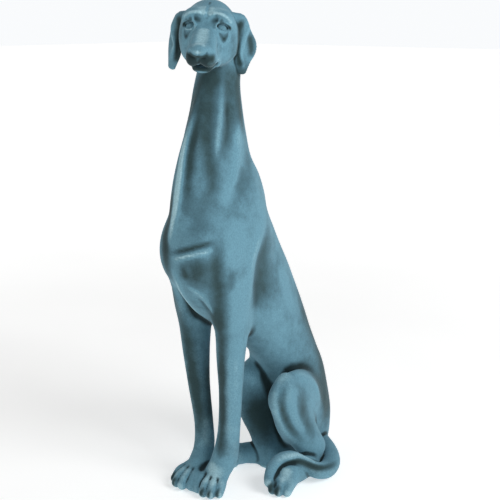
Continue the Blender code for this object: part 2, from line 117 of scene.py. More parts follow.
# On the head: the muzzle, the jaw and the ears.
MUZZLE = [(0.1, -3, -0.4, 3.3, 3), (0.1, -6.5, -1, 2.5, 2.6), (0.2, -10.2, -1.4, 2.1, 1.7)]
JAW = [(0, -1.5, -3.9, 3.4, 1.6), (0, -5.5, -4.4, 2.5, 1.3), (0.1, -8.3, -4.6, 1.9, 0.95)]
EARS = {
    1: [(4.3, 0.6, 2.9, 0.9, 0.9), (5.7, 1, 2.2, 1.3, 0.8), (6.3, 1.1, 0, 1.7, 0.65),
        (6.95, 0.9, -3, 2.55, 0.6), (6.6, 0.5, -5.4, 1.8, 0.55), (6.5, 0.2, -7.6, 0.9, 0.5)],
    -1: [(-4.4, 0.6, 2.7, 0.9, 0.9), (-6.2, 0.9, 1.6, 1.5, 0.8), (-6.9, 0.7, -2, 1.9, 0.65),
         (-7.1, 0.4, -4.6, 2, 0.6), (-7.6, 0, -7.6, 1, 0.55)],
}

# Lines of relief on the body: a path, its width and its height, under 0 for a groove. Those of BOTH_SIDES
# are mirrored.
SHOULDER_EDGE = [
    (6.2, -5.9, 58.5), (7.2, -7.1, 54.9), (7.3, -7.9, 51.6), (7.1, -7.5, 47.5), (6.8, -6.7, 43.2),
    (6.1, -5.7, 38.2), (5.5, -4.6, 33), (5, -4.1, 27),
]
ARM_EDGE = [
    (6.6, 8.6, 58.6), (7.4, 6.3, 56.2), (7.8, 4.2, 53.6), (8.2, 1.9, 49.9), (8.2, 1.2, 45.9),
    (8.2, 0.7, 41.9), (7.9, 0.6, 37.1),
]
BEHIND_ARM = [
    (6.4, 10.6, 57), (7.2, 8.2, 53.6), (7.6, 6, 49.8), (7.6, 5.2, 45.1), (7.5, 5, 40.8), (7.2, 4.8, 36.6),
]
NECK_RIDGE = [
    (3.4, 3.4, 86), (4.2, 2, 78), (5, 0.9, 74.2), (5.5, 0.1, 70.4), (5.9, -1.5, 66.7), (5.9, -3.7, 63.6),
    (6, -5.1, 59.9),
]
THROAT_RIDGE = [
    (2.6, -0.4, 90), (2.8, -1.5, 85.3), (3.6, -2.6, 79.6), (4.2, -4.3, 74.6), (4.6, -5.2, 70.8),
    (4.7, -5.8, 68.4),
]
THROAT_VALLEY = [
    (0.9, -2.6, 91), (1.3, -3.2, 85.6), (2.4, -4.5, 79.6), (3.1, -6.1, 74.7), (4.8, -6.3, 66.7),
    (5, -6.8, 62.9), (5.8, -6.6, 59.4),
]
NECK_VALLEY = [
    (3.3, 1.2, 90), (3.5, 0.6, 85), (4, -0.8, 79.5), (4.7, -1.5, 75.7), (5, -3, 72), (5.2, -4.4, 68.2),
]
WITHERS_VALLEY = [
    (3.4, 5.6, 86), (4.4, 5.2, 75), (5.1, 4.2, 69.3), (6.2, 1.1, 65.4), (6.6, -1.9, 61.9), (6.9, -4.4, 57.8),
]
BOTH_SIDES = [
    (THROAT_RIDGE, 0.8, 0.35), (NECK_RIDGE, 1.1, 0.45), (THROAT_VALLEY, 1.2, -0.4), (NECK_VALLEY, 1, -0.35),
    (WITHERS_VALLEY, 1.8, -0.2), (SHOULDER_EDGE, 1.2, -0.5), (ARM_EDGE, 1.3, 0.3), (BEHIND_ARM, 2.6, -0.35),
]
KEEL = [
    (-0.2, -4.6, 83), (-0.2, -7, 77), (-0.5, -8.8, 72.2), (-0.1, -10.5, 67.2), (0, -11.7, 61.5),
    (-0.8, -12.3, 55.8), (-0.4, -12.6, 53),
]
KEEL_VALLEY = [
    (-0.6, -3.6, 87), (0.6, -6, 79.7), (0.9, -8, 74.4), (1.1, -8.8, 71.9), (1.6, -10.1, 67.3),
    (1.9, -11.1, 62.1), (1.6, -12, 56.9),
]
KEEL_FAR_SIDE = [
    (-1.4, -8.4, 72), (-1.6, -10.6, 65.1), (-2, -11.2, 60.8), (-2.9, -11.7, 56.2), (-2.4, -12.1, 52.9),
    (-2.6, -11, 48), (-3.4, -8, 43.5),
]
BREAST_CREASE = [
    (-1.4, -12.6, 51.9), (0.4, -12.5, 52.8), (2.6, -12.2, 53.5), (4.9, -11.1, 54.3), (6.3, -9, 54.9),
    (7.2, -7.2, 55.4),
]
BELOW_CREASE = [
    (-0.4, -12.6, 50.9), (0.9, -12.5, 51.6), (3.7, -12, 52.5), (6.2, -9.8, 53.3), (7.3, -7.6, 53.8),
]
BREASTBONE = [(-0.5, -12.4, 50.2), (-0.3, -11.4, 47), (-0.5, -9, 43.2), (-0.6, -5.6, 39.4), (-0.5, -2.4, 36)]
FOLD_BESIDE = [(-1.4, -9, 44.6), (-2.3, -6.3, 41.3), (-2.5, -4, 37.8), (-2.2, -2.5, 35.7)]
FOLD_ACROSS = [(1.4, -11, 46.4), (2.7, -10, 45.2), (3.9, -7.9, 43.2), (4.7, -6.8, 40.9), (4.8, -6, 39)]
LEFT_SHIN = [
    (6, -5.4, 42), (5.4, -4.7, 34.5), (4.7, -4, 27.3), (4.3, -3.6, 21.7), (4.6, -3.7, 16.3), (5, -4.2, 9),
    (5, -5.2, 4),
]
RIGHT_SHIN = [
    (-4.6, -5.6, 41), (-4.4, -4.7, 35.1), (-4.2, -3.8, 28.4), (-3.3, -3.2, 21.7), (-2.4, -3, 16.3),
    (-1.8, -3.2, 10), (-1.8, -4.4, 5),
]
TAIL_LINE = [
    (12.4, 4.1, 3.6), (13.2, 5.6, 5.4), (14.4, 7.2, 5.9), (16.1, 9.2, 6), (18.3, 12.2, 4.3),
    (19.2, 16.4, 3.6), (18, 20.8, 3.4),
]
BODY_LINES = [
    (KEEL, 0.65, 0.9), (KEEL_VALLEY, 0.9, -0.4), (BREAST_CREASE, 0.42, -0.8), (BELOW_CREASE, 0.5, 0.5),
    (BREASTBONE, 0.6, 0.5), (FOLD_BESIDE, 0.5, -0.5), (FOLD_ACROSS, 0.45, 0.35),
    ([(0.8, -10.2, 44.2), (2.7, -8.4, 42), (4, -7, 40.2), (4.8, -6.2, 38.8)], 0.7, -0.4),
    (LEFT_SHIN, 1, -0.4), (RIGHT_SHIN, 1, -0.35), (TAIL_LINE, 0.6, -0.3),
]
# Lines on the left haunch, which the right one takes turned over.
HAUNCH_RIM = [
    (11.2, 8, 23.8), (11.2, 6.4, 22), (11.3, 5.6, 20), (11.7, 5.7, 17.4), (11.9, 7.3, 13.8),
    (12.1, 9.4, 10.4), (12.8, 11.6, 7.6),
]
HAUNCH_TOP = [
    (11.6, 9.8, 24.8), (12.2, 13.8, 23.3), (12.3, 18.3, 20.2), (12.3, 20.1, 17.4), (11.4, 22.5, 12.6),
]
HAUNCH_FRONT = [
    (11.9, 9.2, 24.4), (12.9, 6.5, 20.7), (12.9, 6.8, 17), (13.2, 8.9, 13), (13.7, 11.3, 10.1),
    (14, 14.2, 7),
]
HAUNCH_MIDDLE = [
    (11.8, 10.2, 24.8), (13.4, 8.9, 21.3), (13.8, 8.8, 18.1), (14, 9.9, 14.6), (14.4, 12.2, 11.4),
    (14.5, 15, 8),
]
HAUNCH_REAR = [(12.6, 12.4, 23.4), (14, 12, 19), (14.3, 12.7, 14.8), (14.5, 14.7, 10.3), (14.3, 17, 6.6)]
HAUNCH_LINES = [
    (HAUNCH_RIM, 0.8, 0.45), (HAUNCH_TOP, 0.8, 0.4), (HAUNCH_FRONT, 1.1, -0.3), (HAUNCH_MIDDLE, 1, 0.15),
    (HAUNCH_REAR, 1.9, -0.12),
    ([(11, 6.4, 21.6), (11.2, 8, 24.6), (11.6, 10.8, 25.2)], 1.8, 0.6),
    ([(10.3, 15, 25.2), (10.8, 19.4, 22.4), (10.4, 22.8, 18.4), (9.9, 25, 13), (9.9, 25.2, 8.5)], 1.8, -0.2),
]
# A place x, y on the left haunch lies at HAUNCH_STEP[0] - x, y + HAUNCH_STEP[1] on the right one.
HAUNCH_STEP = (10.2, 3.6)
# Streaks of painted shade (over 0) or painted highlight (under 0), some the nap's own brushing: a path, its
# width and how strong it is.
SHADES_BOTH = [
    (THROAT_RIDGE, 0.7, -0.5), (NECK_RIDGE, 0.9, -0.6), (THROAT_VALLEY, 1.6, 1.1), (NECK_VALLEY, 1.5, 1.1),
    (WITHERS_VALLEY, 2.2, 0.55), (SHOULDER_EDGE, 1.5, 1.3), (ARM_EDGE, 1.3, -1.1), (BEHIND_ARM, 2.6, 1),
    ([(7.6, 10, 52), (7.4, 8.8, 44), (7.2, 8.6, 36)], 3.4, 0.7),
    ([(7.4, -0.6, 60), (8.1, -2.8, 54), (8.4, -3, 48)], 2.2, -0.8),
    ([(8.5, -1.6, 48.6), (8.4, -2, 41.6), (7.9, -1.8, 34.1)], 1.9, -0.7),
    ([(8.3, -4.2, 50), (8, -4.8, 44)], 1.3, 0.65),
    ([(6, 13, 47), (6.6, 15, 42), (7.4, 16.4, 36)], 1.5, -0.6),
]
SHADES = [
    # throat, neck and breast
    ([(-3, -2.6, 86), (0.3, -3.4, 86.4), (3, -1.3, 86), (3.8, 2, 86)], 2.6, 1),
    ([(-0.6, -2, 91), (-0.4, -4, 84), (0, -7.4, 76), (0, -10.4, 66)], 3.6, 0.5),
    ([(-3.6, 1, 90), (-4.4, 1, 80), (-5.6, -2, 68), (-6.4, -4, 58)], 3, 0.8),
    ([(3.4, 3.2, 92), (4, 3.2, 82), (4.8, 2.6, 73)], 2, 1.6),
    ([(3, -8.6, 68), (4, -9.6, 60), (4.6, -10.2, 54)], 2.2, 0.7),
    (KEEL, 0.7, -3.2), (KEEL_VALLEY, 1, 1.4), (KEEL_FAR_SIDE, 1.2, 2),
    (BREAST_CREASE, 0.42, 2), (BELOW_CREASE, 0.42, -2.6), (BREASTBONE, 0.55, -2.2), (FOLD_ACROSS, 0.4, -2),
    # under the breast and between the elbows
    ([(6, -10.2, 53), (5, -10.6, 48.8), (3.8, -8.8, 43.6)], 2.4, 1.1),
    ([(2.2, -12.1, 50.9), (2.2, -11.2, 46.6)], 0.8, 1.1),
    ([(3, -8, 42), (4.6, -6.4, 38.6), (3.6, -4.6, 35.6)], 1.8, 1),
    (FOLD_BESIDE, 0.9, 1.6), (LEFT_SHIN, 1.2, 2.1), (RIGHT_SHIN, 1.4, 1.3),
    # forelegs, the gap between them, and the belly
    ([(7.9, -1.3, 36), (7.3, -1.7, 29.5), (6.9, -1.5, 21.8), (6.8, -1.9, 6)], 1.4, -0.8),
    ([(-5.4, -3, 44), (-5.4, -2.8, 32), (-4.6, -2.4, 20), (-3, -2.6, 8)], 2.4, 0.25),
    ([(-2.1, -0.4, 33.5), (-2.1, 0.5, 24.4), (-1, 0.2, 16), (-0.1, -0.9, 9.4)], 1.8, 1.4),
    ([(2.2, -0.6, 31), (2.2, -0.6, 22), (2.3, -1, 14)], 1.4, 1.2),
    ([(0.6, 10.6, 20), (1.6, 11.8, 14), (2.4, 12.4, 8), (2.6, 12, 3)], 3.2, 1.6),
    ([(5.2, 17, 20), (6.2, 17, 10), (7, 16, 3)], 3, 1.4),
    # back and rump
    ([(5.2, 20.4, 44), (6.4, 23.6, 34), (7.2, 27.4, 24), (7.6, 30, 10)], 3.4, 1.4),
    ([(8.6, 25, 26), (9.4, 28, 14), (10.4, 26, 4)], 3, 1.2),
    # the tops of the paws, and the tail
    ([(14.2, 9, 5.6), (14.6, 6, 5.4), (15.4, 4, 3.4), (15.4, 2.6, 1.8)], 2.4, -1.7),
    ([(3.4, -2.6, 8), (4.5, -5.6, 4.8), (5.2, -9.4, 1.4)], 3, -1.8),
    ([(-2.2, -4.6, 6.4), (-2, -6.6, 4.4), (-1.6, -9.2, 2)], 2.4, -1.2),
    ([(12.3, 4.9, 6.4), (14.3, 7.7, 7.5), (16.3, 11.2, 6.2), (17.7, 13.9, 4.7), (18, 17.2, 4.3)], 1, -1.2),
    (TAIL_LINE, 0.7, 2.3),
]
# Painted shade on the dark front of a toe, down to the ground: its x, its y, how wide and how dark.
SHADES += [
    ([(x, y + 2, 3.2), (x, y + 0.4, 2.2), (x, y, 1.2), (x, y, -0.5)], width, amount)
    for x, y, width, amount in (
        (4.2, -9.4, 0.55, 1.6), (5.8, -8.9, 0.5, 1.4), (6.9, -7.4, 0.6, 1.6), (-5, -8.6, 0.8, 1.8),
        (-3.4, -9.9, 0.5, 1.4), (13.8, 1.5, 0.6, 1.5), (15.3, 1.6, 0.7, 1.8))
]
HAUNCH_SHADES = [
    (HAUNCH_FRONT, 0.9, 1.4), (HAUNCH_MIDDLE, 1, -0.8), (HAUNCH_REAR, 1.9, 1), (HAUNCH_RIM, 0.8, -0.8),
    (HAUNCH_TOP, 0.7, -0.8),
    ([(9.6, 17, 27), (10.8, 21.4, 20.4), (10.4, 24.8, 13), (9.9, 25.2, 6.5)], 2.2, 1.2),
]
# The same on the head, in its own axes; each row is on both sides.
HEAD_SHADES = [
    # bridge, top and sides of the nose, under it, flews and jaw
    ([(0.4, -6, 1.8), (0.5, -7.6, 1.3), (0.7, -9.6, 0.6)], 1.6, -1),
    ([(0, -12, -0.5), (0.7, -11.9, -0.4)], 0.55, -0.9),
    ([(0.4, -10.9, 0.7), (0.9, -11.3, 0.5)], 0.6, -1),
    ([(0, -12.1, -1.4), (0.9, -12, -1.3), (1.5, -11.6, -1.2)], 0.4, 1.4),
    ([(1, -11.5, -2.1), (1.6, -11.3, -1.9), (2.2, -10.8, -1.8)], 0.7, 3.2),
    ([(0.8, -11.1, -2.9), (1.5, -10.8, -3), (2.1, -9.9, -3.1)], 0.75, 3),
    ([(0.2, -10, -4.6), (1.2, -9.4, -4.7), (2, -8.4, -4.8)], 0.8, 2.2),
    # under the brows and between the eyes, the upper lid, under and round the eye
    ([(1.5, -4.6, 3.4), (2, -4.5, 3.5), (2.7, -4.4, 3.4)], 0.65, 1.1),
    ([(0, -5, 2.5), (0.7, -5, 2.3)], 0.7, 0.35),
    ([(2.6, -5, 2.4), (3.3, -4.7, 2.8), (4.2, -4, 2.3), (4.7, -3.5, 1.8)], 0.28, 2.5),
    ([(2.8, -5, 0.95), (3.3, -4.9, 0.3), (3.55, -4.9, 0)], 0.42, 0.75),
    ([(4.1, -4.1, 0.8), (3.8, -4.5, 0.3), (3.55, -4.9, 0)], 0.4, 0.75),
    ([(2.2, -5.3, 1.8), (2.6, -5.7, 0.2), (3.2, -5.4, -0.9)], 0.3, -1.1),
    ([(4.5, -3.8, 0.8), (4.2, -4.3, -0.2), (3.5, -5.2, -0.9)], 0.3, -1),
    # crease beside the bridge, brow, forehead, cheek, the forehead's crease
    ([(2.6, -4.35, 3.8), (2.3, -4.9, 3), (1.9, -5.1, 2)], 0.25, -1.1),
    ([(0.5, -4.1, 4.6), (1.8, -4.3, 4.8), (3, -4.2, 4.5), (3.9, -4.1, 4), (4.6, -3.4, 2.9)], 0.55, -1.2),
    ([(2.8, -2.2, 4.9), (1.2, -3, 5.1)], 1.7, -1.3),
    ([(4.7, -3.2, -0.6), (4.9, -2.8, -3.2)], 1.2, 0.5),
    ([(0, -0.4, 5.6), (0.1, -2.2, 5.4), (0.2, -3.8, 4.7), (0.2, -4.4, 3.7)], 0.22, 0.7),
    # lower lip, corner of the mouth, the eye, fold of the flew, in front of the ear
    ([(2.6, -9.4, -4.3), (1.6, -9.1, -5), (0, -9.2, -5.2)], 0.25, -1.4),
    ([(2.8, -7.4, -4), (2.7, -7.6, -4.1)], 0.4, 3),
    ([(2.75, -5, 1.62), (3.4, -4.8, 1.42), (4.1, -4.2, 1.45)], 0.18, -2.6),
    ([(3.2, -5, 2.3), (3.6, -4.8, 2.2)], 0.2, 1.3),
    ([(3.15, -8.4, -2.6), (3.1, -7, -3.4), (2.9, -6.4, -4.4)], 0.25, -1.6),
    ([(6, 0, 1.7), (6, -0.9, -0.9), (5.9, -0.9, -3.4), (6.3, -0.8, -5.5)], 0.7, 2),
]
# On the ears: the pale ridge down each, and the fold behind it.
EAR_RIDGES = {
    1: [(7, 1, 2.2), (7.2, 1.2, 0.7), (6.45, 0, -1.7), (6.2, -0.65, -3.6), (6.6, -0.4, -5.7),
        (6.9, -0.1, -7.4)],
    -1: [(-7.4, 1.3, 1.4), (-7.7, 0.9, -0.5), (-7.15, -0.5, -2.8), (-7.4, -0.3, -4.4), (-8, 0, -6.6)],
}
EAR_FOLDS = {
    1: [(7.9, 1.8, 0.4), (7.8, 1.2, -1.6), (8.1, 1.1, -3.5), (7.8, 0.8, -5.2)],
    -1: [(-6.6, 0.1, 1.2), (-6.4, -0.4, -1.1), (-6.3, -0.7, -3.6), (-6.7, -0.8, -5.6)],
}
# Lines of the face, on both its sides: a path, its width, its height and its taper.
FACE_LINES = [
    # upper lid, crease beside the bridge, brow, two hollows under the eye, side of the bridge
    ([(2.75, -4.95, 3.25), (3.5, -4.6, 3.45), (4.3, -3.95, 2.95)], 0.35, -0.22, 0.3),
    ([(2.7, -4.35, 3.8), (2.3, -4.9, 3), (1.9, -5.1, 2)], 0.28, 0.32, 0.25),
    ([(0.6, -4.1, 4.65), (1.8, -4.3, 4.85), (2.9, -4.2, 4.6), (3.75, -4, 4.1),
      (4.6, -3.5, 3.2)], 0.45, 0.4, 0.2),
    ([(2.8, -5, 0.95), (3.3, -4.9, 0.3), (3.55, -4.9, -0.1)], 0.5, -0.13, 0.3),
    ([(4.1, -4.1, 0.8), (3.8, -4.5, 0.3), (3.55, -4.9, -0.1)], 0.5, -0.13, 0.3),
    ([(1.92, -5.4, 2), (2.5, -5.5, 0.7), (2.8, -6.2, -0.6), (3, -7.4, -1.7)], 0.45, 0.14, 0.3),
    # nostril, wing of the nose, upper lip, fold at the corner of the mouth, edge of the jaw
    ([(0.85, -12.1, -0.85), (1.25, -11.85, -0.8), (1.55, -11.5, -0.6)], 0.32, -0.3, 0),
    ([(0.2, -11.9, -1.6), (1, -11.6, -1.6), (1.7, -11, -1.3)], 0.35, -0.2, 0),
    ([(0, -10.3, -3.4), (0.6, -10.2, -3.8), (1.5, -9.6, -4.25), (2.1, -8.6, -4.45),
      (2.75, -7.4, -4.1)], 0.26, -0.45, 0),
    ([(3.15, -8.6, -2.4), (3.1, -7, -3.4), (2.9, -6.4, -4.4), (2.5, -6.6, -5)], 0.35, 0.34, 0.3),
    ([(2.6, -5, -6.3), (3.5, -4.3, -6), (4.5, -3.3, -5.4), (5.2, -1.6, -4.8),
      (5.4, 0.2, -4.4)], 0.7, -0.5, 0.3),
]
# Spots of the face, on both its sides: a place, its width and its height. Two lie under the brow, one at the
# corner of the mouth.
FACE_SPOTS = [((1.9, -4.7, 3.75), 0.8, -0.45), ((4.1, -4.1, 3.1), 0.6, -0.25), ((2.8, -7.4, -4), 0.45, -0.9)]
FOREHEAD_CREASE = [(0.1, -0.8, 5.6), (0.2, -2.9, 5.3), (0.2, -4.2, 4.4), (0.15, -4.65, 3.55)]
NOSE_CREASE = [(0.2, -12.2, -0.2), (0.2, -12, -1.2), (0.05, -10.8, -3.2)]

# Rows of height, left, right, front and back: the room that the mesh's net needs at each height.
GRID_ROOM = [
    (-1, -8, 21, -12, 33), (10, -8, 20, -10, 33.5), (18, -8.5, 16, -8, 33), (40, -10, 10, -13, 26),
    (60, -10, 10, -14, 16), (74, -9, 9, -12, 11), (82, -10.5, 9, -13.5, 8), (102, -10.5, 9, -13.5, 8),
]
NET_BOTTOM, NET_TOP = -0.9, 101.2
CELL_HEIGHTS = (0, 8, 15, 74, 83, 101)
# The field is found on every COARSE_STEP-th node, then on all nodes within NEAR_CELLS cells of the surface.
COARSE_STEP, NEAR_CELLS = 4, 7.0
MOST_TRIANGLES = 199000
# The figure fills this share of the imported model's box.
FIT_SHARE = 0.9995

# A limb, or a line, has this many steps between two of its rows, and the torso this many rows.
CURVE_STEPS, TORSO_ROWS = 4, 200
# A distance of FAR or more is only a bound. A line's bell is left out past STROKE_REACH widths.
FAR, STROKE_REACH, TINY = 4.5, 2.6, 1e-9
# The share of a line, and of a streak, over which it fades at each end.
LINE_TAPER, SHADE_TAPER = 0.42, 0.4
# A point is put back on the surface in SETTLE_ROUNDS rounds, moved by MOST_SHIFT at most in each.
SETTLE_ROUNDS, MOST_SHIFT = 2, 0.2
# Rounds of smoothing: those that fine and broad relief are measured against, and those that even the relief.
FINE_ROUNDS, BROAD_ROUNDS, EVEN_ROUNDS = 6, 60, 3
# How much fine relief pales the ridges (rubbed wear and painted highlight) and darkens the hollows (painted
# shade) at these heights, how much of it does nothing, and how much broad relief darkens the hollows with
# painted shade.
GAIN_HEIGHTS, RIDGE_GAIN, HOLLOW_SHADE_GAIN = (7, 12, 70, 84), (9, 4.5, 4.5, 8), (15, 7, 7, 12)
RIDGE_START, BROAD_SHADE_GAIN = 0.08, 1.5

# The form's middle in x and y and its top. The camera stands CAMERA_TURN degrees round to the left, and its
# distance, its height and the height that it faces are in the same lengths; its focal length is in pixels.
FORM_MIDDLE, FORM_TOP = (5.38, 9.87), 100.37
CAMERA_TURN, CAMERA_DISTANCE, CAMERA_HEIGHT, CAMERA_AIM = 42.0, 190.0, 97.0, 49.0
CAMERA_FOCAL, CAMERA_SHIFT = 960.3, (0.07, 0.019)
PICTURE_WIDTH, SENSOR_WIDTH = 500, 36.0
FLOOR_REACH = 20.0


# Distance fields


def unit(v):
    """Each row over its own length."""
    return v / np.linalg.norm(v, axis=-1, keepdims=True)


def smooth_curve(points, count):
    """Rows of a Catmull-Rom curve through the given rows, at even steps of its parameter."""
    p = np.asarray(points, float)
    if len(p) == 2:
        t = np.linspace(0, 1, count)[:, None]
        return p[0] * (1 - t) + p[1] * t
    q = np.vstack([2 * p[0] - p[1], p, 2 * p[-1] - p[-2]])
    t = np.linspace(0, len(p) - 1, count)
    i = np.minimum(t.astype(int), len(p) - 2)
    f = (t - i)[:, None]
    a, b, c, d = q[i], q[i + 1], q[i + 2], q[i + 3]
    return 0.5 * (2 * b + (c - a) * f + (2 * a - 5 * b + 4 * c - d) * f**2 + (3 * b - a - 3 * c + d) * f**3)


def nearest_on(points, line):
    """The nearest place on a polyline to each point: its segment, the share along that, and the distance."""
    a, b = line[:-1], line[1:]
    d = b - a
    dd = (d * d).sum(1)
    best = np.full(len(points), np.inf)
    index = np.zeros(len(points), int)
    share = np.zeros(len(points))
    for i in range(len(a)):
        t = np.clip(((points - a[i]) @ d[i]) / dd[i], 0, 1)
        off = points - a[i] - t[:, None] * d[i]
        q = (off * off).sum(1)
        near = q < best
        best[near], index[near], share[near] = q[near], i, t[near]
    return index, share, np.sqrt(best)


def culled(points, low, high, inner):
    """inner(points) where they lie near the box, and FAR or more elsewhere."""
    gap = np.maximum(np.maximum(low - points, points - high), 0)
    near = (gap < FAR).all(1)
    out = np.maximum(FAR, gap.max(1))
    if near.any():
        out[near] = inner(points[near])
    return out


def limb(points, stations, side=(1, 0, 0)):
    """limb_near, worked out only near the limb."""
    s = np.asarray(stations, float)
    r = s[:, 3:5].max(1)[:, None]
    return culled(points, (s[:, :3] - r).min(0), (s[:, :3] + r).max(0), lambda p: limb_near(p, s, side))


def limb_near(points, stations, side):
    """Distance to a tapered limb: an ellipse carried along a smooth curve.

    A station is x, y, z, half width along side, half depth across it. The distance to each ellipse is
    k0 (k0 - 1) / k1, where k0 is the length of the place over the half sizes and k1 that over their squares.
    """
    line = smooth_curve(stations, CURVE_STEPS * (len(stations) - 1) + 1)
    centre = line[:, :3]
    tangent = unit(np.gradient(centre, axis=0))
    across = unit(np.cross(tangent, np.asarray(side, float)))
    along = np.cross(across, tangent)
    i, t, _ = nearest_on(points, centre)
    t = t[:, None]

    def here(v):
        """v at the place on the limb that is nearest to each point."""
        return v[i] * (1 - t) + v[i + 1] * t

    off = points - here(centre)
    half = here(line[:, 3:5])
    u = (off * here(along)).sum(1)
    v = (off * here(across)).sum(1)
    w = (off * here(tangent)).sum(1)
    end = np.minimum(half[:, 0], half[:, 1])
    local = np.column_stack([u / half[:, 0], v / half[:, 1], w / end])
    k0 = np.sqrt((local**2).sum(1)) + TINY
    k1 = np.sqrt(((local / np.column_stack([half[:, 0], half[:, 1], end])) ** 2).sum(1)) + TINY
    return k0 * (k0 - 1) / k1


def ellipsoid(points, centre, radii, axes=np.eye(3)):
    """ellipsoid_near, worked out only near the ellipsoid."""
    c, r = np.asarray(centre, float), max(radii)
    return culled(points, c - r, c + r, lambda p: ellipsoid_near(p, c, np.asarray(radii, float), axes))


def ellipsoid_near(points, centre, radii, axes):
    """Distance to an ellipsoid by the same k0 and k1; axes are its three directions as rows."""
    local = (points - centre) @ axes.T
    k0 = np.sqrt(((local / radii) ** 2).sum(1)) + TINY
    k1 = np.sqrt(((local / radii**2) ** 2).sum(1)) + TINY
    return k0 * (k0 - 1) / k1


def join(a, b, k):
    """Smooth union: the smaller distance, rounded over k where the two meet."""
    h = np.clip(0.5 + 0.5 * (b - a) / k, 0, 1)
    return b * (1 - h) + a * h - k * h * (1 - h)


def carve(a, b, k):
    """a with b taken away, rounded over k."""
    h = np.clip(0.5 - 0.5 * (a + b) / k, 0, 1)
    return a * (1 - h) - b * h + k * h * (1 - h)


def stroke(points, path, width, height, taper=0.0):
    """A raised (height over 0) or pressed line along a path.

    It is height times the bell exp(-(distance / width)^2), fading over a share taper of the path at its ends.
    """
    line = smooth_curve(path, CURVE_STEPS * (len(path) - 1) + 1)
    out = np.zeros(len(points))
    reach = STROKE_REACH * width
    near = ((points > line.min(0) - reach) & (points < line.max(0) + reach)).all(1)
    if near.any():
        i, t, d = nearest_on(points[near], line)
        along = (i + t) / (len(line) - 1)
        fade = 1.0
        if taper:
            fade = np.clip(along / taper, 0, 1) * np.clip((1 - along) / taper, 0, 1)
            fade = fade * fade * (3 - 2 * fade)
        out[near] = -height * fade * np.exp(-((d / width) ** 2))
    return out


def dimple(points, centre, width, height):
    """A raised (height over 0) or pressed spot: the same bell of the distance to its centre."""
    off = points - np.asarray(centre, float)
    return -height * np.exp(-(off * off).sum(1) / width**2)


# The figure


def turn(axis, degrees):
    """The matrix that turns by degrees about x, y or z."""
    a = np.radians(degrees)
    c, s = np.cos(a), np.sin(a)
    return {"x": np.array([[1, 0, 0], [0, c, -s], [0, s, c]]),
            "y": np.array([[c, 0, s], [0, 1, 0], [-s, 0, c]]),
            "z": np.array([[c, -s, 0], [s, c, 0], [0, 0, 1]])}[axis]


HEAD_AXES = turn("z", HEAD_TURN[0]) @ turn("x", HEAD_TURN[1]) @ turn("y", HEAD_TURN[2])


def on_head(p):
    """Places of the figure, in the head's own axes."""
    return (p - HEAD_CENTRE) @ HEAD_AXES


def mirrored(path, s):
    """The path itself where s is 1, and the one across the middle where it is -1."""
    return [(s * x, y, z) for x, y, z in path]


def torso(p):
    """Trunk and neck: an ellipse at every height, from the smooth curve through the levels.

    Where the outline leans, the distance is taken across its slope and not level.
    """
    rows = smooth_curve(TORSO, TORSO_ROWS)
    rise = 0.3

    def at(height):
        """Distance of each point, moved level, to the ellipse of that height."""
        x, wide, front, back = (np.interp(height, rows[:, 0], rows[:, k]) for k in (1, 2, 3, 4))
        deep = (back - front) / 2
        u, v = (p[:, 0] - x) / wide, (p[:, 1] - (front + back) / 2) / deep
        k0 = np.sqrt(u * u + v * v) + TINY
        return k0 * (k0 - 1) / (np.sqrt((u / wide) ** 2 + (v / deep) ** 2) + TINY)

    d = at(p[:, 2])
    slope = (at(p[:, 2] + rise) - d) / rise
    return np.maximum(d / np.sqrt(1 + slope**2), p[:, 2] - rows[-1, 0])


def head_bulk(q):
    """The head without its carving, in its own axes: the skull, and each part melted into the rest."""
    d = ellipsoid(q, (-0.3, 0.8, 0.4), (5.2, 6.2, 5.3))
    for s in (1, -1):
        cheek = ellipsoid(q, (s * 2.9, -0.9, -1.4), (2.8, 4.4, 4.7))
        brow = ellipsoid(q, (s * 2.1, -2.7, 3.2), (2.6, 1.9, 1.7))
        jowl = [(s * 3, -1, -3.4, 1.9, 2.2), (s * 2.5, -4, -3.3, 1.6, 2), (s * 1.9, -7, -3.1, 1.2, 1.6)]
        d = join(join(join(d, cheek, 1.8), brow, 1.8), limb(q, jowl), 1.2)
    d = join(d, limb(q, MUZZLE), 1.6)
    for s in (1, -1):
        bridge = [(s + 0.1, -5, 0.9, 0.9, 0.9), (s * 1.3 + 0.2, -7.6, 0.2, 1.1, 1),
                  (s * 1.6 + 0.3, -10, -0.9, 1.1, 1.1)]
        flew = ellipsoid(q, (0.15 + s * 1.45, -8.7, -2.3), (1.55, 2.9, 1.75))
        d = join(join(d, limb(q, bridge), 0.8), flew, 0.7)
    nose = ellipsoid(q, (0.15, -11.0, -0.4), (1.75, 1.3, 1.15))
    return join(join(d, limb(q, JAW), 0.5), nose, 0.9)


def eye_relief(q, s):
    """An almond ball in a soft socket, a groove round it and a raised lid round that, stronger above.

    Each is a bell of ring, which is 1 on an ellipse round the eye's middle, tilted up at its outer end.
    """
    out = unit(np.array([s * 0.55, -0.82, 0.12]))
    side = unit(np.cross(out, (0, 0, 1)))
    off = q - (s * 3.45, -4.6, 2.2)
    u, w, v = off @ side, off @ np.cross(side, out), off @ out
    w = w - 0.3 * s * u
    ring = np.sqrt((u / 0.92) ** 2 + (w / 0.5) ** 2)
    above = np.clip(0.5 + w / 0.7, 0, 1)
    ball = 0.14 * np.exp(-((ring / 0.8) ** 4))
    groove = (0.02 + 0.32 * above) * np.exp(-(((ring - 1.08) / 0.26) ** 2))
    lid = (0.1 + 0.18 * above) * np.exp(-(((ring - 1.6) / 0.36) ** 2))
    socket = 0.42 * np.exp(-((ring / 2.5) ** 2))
    return -((ball - groove) + (lid - socket)) * np.exp(-((v / 2.0) ** 4))


